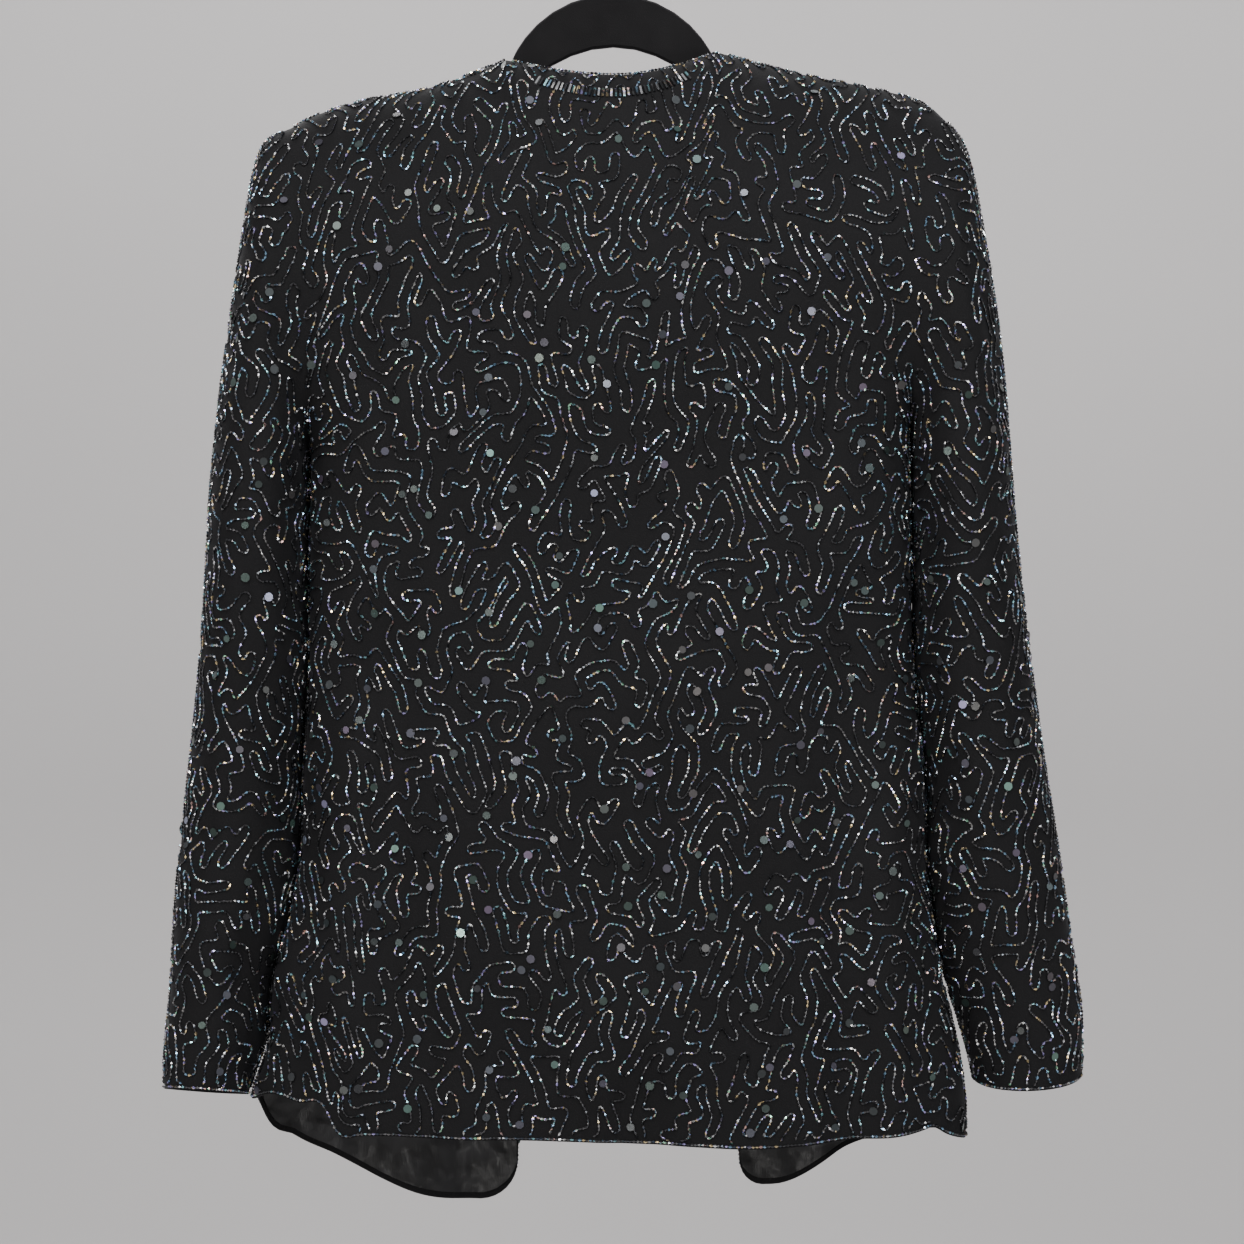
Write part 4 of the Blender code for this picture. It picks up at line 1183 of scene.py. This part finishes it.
def upright_row(face):
    """Upright beads below the back of the neck: centres, directions and normals."""
    share = 0.385 + 0.23 * ROW_STEPS
    high = (face.heights[-1] - BUGLE_DROP) * np.ones_like(share)
    points, along, normals = spaced_beads(face, high, share, 0.0027)
    return points, np.cross(normals, along), normals


print("rows on the back:", len(edge_rows("back", FACES["back"])))


# %% Beads and sequins of one piece
EDGE_CLEARANCE = 0.0024
BUGLE_CLEARANCE = 0.0036
SEQUIN_CLEARANCE = 0.36
SEQUIN_THICKNESS = 0.0003
SEQUIN_LIFT = 0.0011
SEQUIN_STEP = 0.033
SEQUIN_SIZE = 0.0056
OCTAGON = [(0.5 * math.cos(a), 0.5 * math.sin(a)) for a in np.radians(np.arange(22.5, 360, 45))]
SEQUIN_CORNERS = np.array([(x, y, z) for z in (0.5, -0.5) for x, y in OCTAGON])
SEQUIN_TOP = [(0, 1, 2, 3), (0, 3, 4, 7), (4, 5, 6, 7)]
SEQUIN_RIM = [(i + 8, (i + 1) % 8 + 8, (i + 1) % 8, i) for i in range(8)]
SEQUIN_FACES = np.array(SEQUIN_TOP + [tuple(i + 8 for i in face[::-1]) for face in SEQUIN_TOP] + SEQUIN_RIM)


def near_any(points, others, distance):
    """Which points lie within a distance of any of the others."""
    tree = kdtree.KDTree(len(others))
    for i, point in enumerate(others):
        tree.insert(point, i)
    tree.balance()
    return np.array([tree.find(point)[2] < distance for point in points])


def sequin_places(face, rng):
    """Loose grid of places on a face, uneven as sewn by hand, and thinner towards the shoulders."""
    high = []
    share = []
    for level in np.arange(SEQUIN_STEP * 0.6, face.heights[-1] - SEQUIN_STEP * 0.4, SEQUIN_STEP):
        width = float(np.interp(level, face.heights, face.widths))
        count = max(1, round(width / SEQUIN_STEP))
        keep = rng.random(count) < np.interp(level / face.heights[-1], (0.0, 0.55, 1.0), (0.95, 0.8, 0.3))
        share += list(((np.arange(count) + 0.5 + rng.uniform(-0.48, 0.48, count)) / count)[keep])
        high += list((level + rng.uniform(-0.48, 0.48, count) * SEQUIN_STEP)[keep])
    return np.array(high), np.clip(share, 0.02, 0.98)


def add_sequins(name, face, seed):
    """Joined mesh of one piece's sequins, each tipped a little by the beads under its edge."""
    rng = np.random.default_rng(seed)
    points, normals = face.place(*sequin_places(face, rng))
    count = len(points)
    along = np.cross(normals, (0.0, 1.0, 0.0)) + rng.normal(0, 0.4, (count, 3))
    tipped = unit(normals + rng.normal(0, 0.16, (count, 3)))
    sizes = np.tile((SEQUIN_SIZE, SEQUIN_SIZE, SEQUIN_THICKNESS), (count, 1))
    sizes[:, :2] *= rng.uniform(0.84, 1.06, (count, 1))
    centres = points + normals * SEQUIN_LIFT
    disc = (SEQUIN_CORNERS, SEQUIN_FACES)
    made = scattered_mesh(f"{name}_sequins", *disc, centres, along, tipped, sizes, SEQUINS, rng)
    return made, points


def add_beads(name, face, seed, keep_clear):
    """Joined meshes of one piece's bead lines and edge rows, and of the back's upright beads."""
    rng = np.random.default_rng(seed)
    lines = spaced_beads(face, *wandering_line(face, random.Random(seed)), BEAD_PITCH)
    rows = [spaced_beads(face, *row, BEAD_PITCH) for row in edge_rows(name, face)]
    clear = ~near_any(lines[0], np.vstack([row[0] for row in rows]), EDGE_CLEARANCE)
    clear &= ~near_any(lines[0], keep_clear, SEQUIN_SIZE * SEQUIN_CLEARANCE)
    made = []
    if name == "back":
        centres, along, normals = upright_row(face)
        clear &= ~near_any(lines[0], centres, BUGLE_CLEARANCE)
        rolled = turned(along, normals, rng.normal(0.5, 0.4, len(centres)))
        sizes = BUGLE_SIZE * rng.uniform(0.92, 1.08, (len(centres), 1))
        centres = centres + normals * BEAD_LIFT
        row = (centres, along, rolled, sizes, BEADS, rng)
        made.append(scattered_mesh("back_upright_beads", BUGLE_CORNERS, BUGLE_FACES, *row))
    groups = [[part[clear] for part in lines], *rows]
    centres, along, normals = (np.vstack([group[i] for group in groups]) for i in range(3))
    sizes = BEAD_SIZE * rng.uniform(0.88, 1.12, (len(centres), 1))
    centres = centres + normals * BEAD_LIFT
    rolled = turned(along, normals, np.cumsum(rng.normal(0, 0.42, len(centres))))
    along = unit(along + rolled * rng.normal(0, 0.13, (len(centres), 1)))
    bead = (BEAD_CORNERS, BEAD_FACES)
    made.append(scattered_mesh(f"{name}_beads", *bead, centres, along, rolled, sizes, BEADS, rng))
    return made


TRIMMINGS = {}
for seed, (name, face) in enumerate(sorted(FACES.items()), start=11):
    discs, places = add_sequins(name, face, seed)
    TRIMMINGS[name] = [*add_beads(name, face, seed, places), discs]
    for thing in TRIMMINGS[name]:
        print(thing.name, len(thing.data.loops) - 2 * len(thing.data.polygons), "triangles")

# %% [markdown]
# ## What moves with what
# Every piece rides on the one rigid body. Each shell stands for the frame's plain wall, which is hidden.

# %% Bodies and cut sizes
CUTS = {
    "back": ((0.525, 0.729), 0.314, 0.308),
    "front_left": ((0.212, 0.772), 0.122, 0.118),
    "front_right": ((0.206, 0.770), 0.115, 0.110),
    "sleeve_left": ((0.300, 0.643), 0.153, 0.146),
    "sleeve_right": ((0.293, 0.642), 0.153, 0.146),
}


def area_of(thing):
    """Area of a mesh's faces."""
    areas = np.zeros(len(thing.data.polygons), np.float32)
    thing.data.polygons.foreach_get("area", areas)
    return float(areas.sum())


for name, (flat, cloth_area, satin_area) in CUTS.items():
    cloth = CLOTHS[name]
    satin = LININGS[name]
    for thing in (cloth, satin, *TRIMMINGS[name]):
        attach(thing, "root")
    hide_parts(name)
    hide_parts(f"{name}_lining")
    print(name, "cloth", round(area_of(cloth) / 2, 4), "satin", round(area_of(satin) / 2, 4), flat[0] * flat[1])

# %% [markdown]
# ## Camera, floor and light
# The photograph looks level at the jacket's back from about 1.6 m. The backdrop is a pale sheet that curves
# from floor to wall. Large soft lights give the cloth its form, and a few small ones give the beads their
# separate sparks.

# %% Camera
CAMERA_AT = (-0.00567, 1.66, -0.4556)
SEEN_HALF_WIDTH = 0.39186
SEEN_FROM = 1.6
camera = bpy.data.objects.new("camera", bpy.data.cameras.new("camera"))
bpy.context.collection.objects.link(camera)
camera.location = CAMERA_AT
camera.rotation_euler = (math.pi / 2, 0.0, math.pi)
camera.data.sensor_width = 36.0
camera.data.lens = camera.data.sensor_width / 2 / (SEEN_HALF_WIDTH / SEEN_FROM)
camera.data.clip_start = 0.05
bpy.context.scene.camera = camera
print("lens:", round(camera.data.lens, 2))


# %% Backdrop
FLOOR_Z = -1.70
WALL_REACH = 3.4
WALL_CURVE = 0.9
WALL_TOP = 2.6


def sheet_sockets(tree):
    """Pale paint, slightly clouded."""
    colour = mixed(tree, noise(tree, 1.1, 2.0), (0.40, 0.39, 0.39, 1.0), (0.44, 0.43, 0.43, 1.0))
    return {"Base Color": colour, "Roughness": 0.9}


def add_backdrop():
    """Round pale floor that curves up into a wall well away from the jacket on all sides."""
    turn = np.linspace(0.0, math.pi / 2, 24)
    reach = WALL_REACH - WALL_CURVE * (1 - np.sin(turn))
    rise = FLOOR_Z + WALL_CURVE * (1 - np.cos(turn))
    reach = np.concatenate([[0.02], reach, [WALL_REACH]])
    rise = np.concatenate([[FLOOR_Z], rise, [WALL_TOP]])
    around = np.linspace(0.0, 2 * math.pi, 97)[:-1]
    points = [(r * math.cos(a), r * math.sin(a), z) for r, z in zip(reach, rise) for a in around]
    index = np.arange(len(points)).reshape(len(reach), len(around))
    after = np.roll(index, -1, axis=1)
    faces = np.stack([index[:-1], after[:-1], after[1:], index[1:]], axis=-1).reshape(-1, 4)
    sheet = new_object("pale_sheet", np.array(points), faces, finish("pale_sheet", sheet_sockets))
    sheet.data.polygons.foreach_set("use_smooth", np.ones(len(faces), bool))
    return sheet


add_backdrop()
print("backdrop is set")

# %% Lights
LIGHT_COLUMNS = ("place", "aim", "size", "watts", "colour")
LIGHTS = (
    ((1.1, 2.0, 1.2), (0.0, 0.0, -0.45), 1.0, 29.0, (1.0, 0.98, 0.96)),
    ((-1.2, 1.9, 1.0), (0.0, 0.0, -0.45), 0.8, 22.0, (0.95, 0.98, 1.0)),
    ((0.1, 1.4, 1.5), (0.0, 0.0, -0.35), 0.35, 14.0, (1.0, 1.0, 1.0)),
    ((0.9, 2.4, -0.2), (0.0, 0.0, -0.45), 0.25, 8.0, (1.0, 0.97, 0.93)),
    ((-0.8, 2.3, 0.3), (0.0, 0.0, -0.45), 0.25, 8.0, (0.93, 0.97, 1.0)),
    ((-1.6, 1.3, -0.5), (0.0, 0.0, -0.45), 0.25, 5.0, (1.0, 1.0, 1.0)),
    ((1.6, 1.2, -0.3), (0.0, 0.0, -0.45), 0.25, 5.0, (1.0, 1.0, 1.0)),
    ((0.2, 2.0, -1.4), (0.0, 0.0, -0.45), 0.25, 4.0, (1.0, 0.98, 0.95)),
    ((1.2, -2.0, 1.2), (0.0, 0.0, -0.45), 1.2, 32.0, (1.0, 0.99, 0.97)),
    ((-0.9, -1.9, 0.4), (0.0, 0.0, -0.45), 0.4, 13.0, (0.96, 0.98, 1.0)),
    ((0.0, -1.0, 1.6), (0.0, -3.4, -0.4), 1.6, 110.0, (1.0, 0.99, 0.99)),
    ((0.0, 1.2, 1.7), (0.0, 3.4, -0.4), 1.6, 45.0, (1.0, 0.99, 0.99)),
)


def add_light(number, row):
    """Square area light."""
    light = dict(zip(LIGHT_COLUMNS, row))
    data = bpy.data.lights.new(f"softbox_{number}", "AREA")
    data.size = light["size"]
    data.energy = light["watts"]
    data.color = light["colour"]
    thing = bpy.data.objects.new(data.name, data)
    bpy.context.collection.objects.link(thing)
    thing.location = light["place"]
    way = Vector(light["aim"]) - thing.location
    thing.rotation_euler = way.to_track_quat("-Z", "Y").to_euler()


for number, row in enumerate(LIGHTS, start=1):
    add_light(number, row)
world = bpy.data.worlds.new("studio")
world.use_nodes = True
world.node_tree.nodes["Background"].inputs["Color"].default_value = (0.92, 0.93, 0.95, 1.0)
world.node_tree.nodes["Background"].inputs["Strength"].default_value = 0.19
bpy.context.scene.world = world
print("lights:", len(LIGHTS))
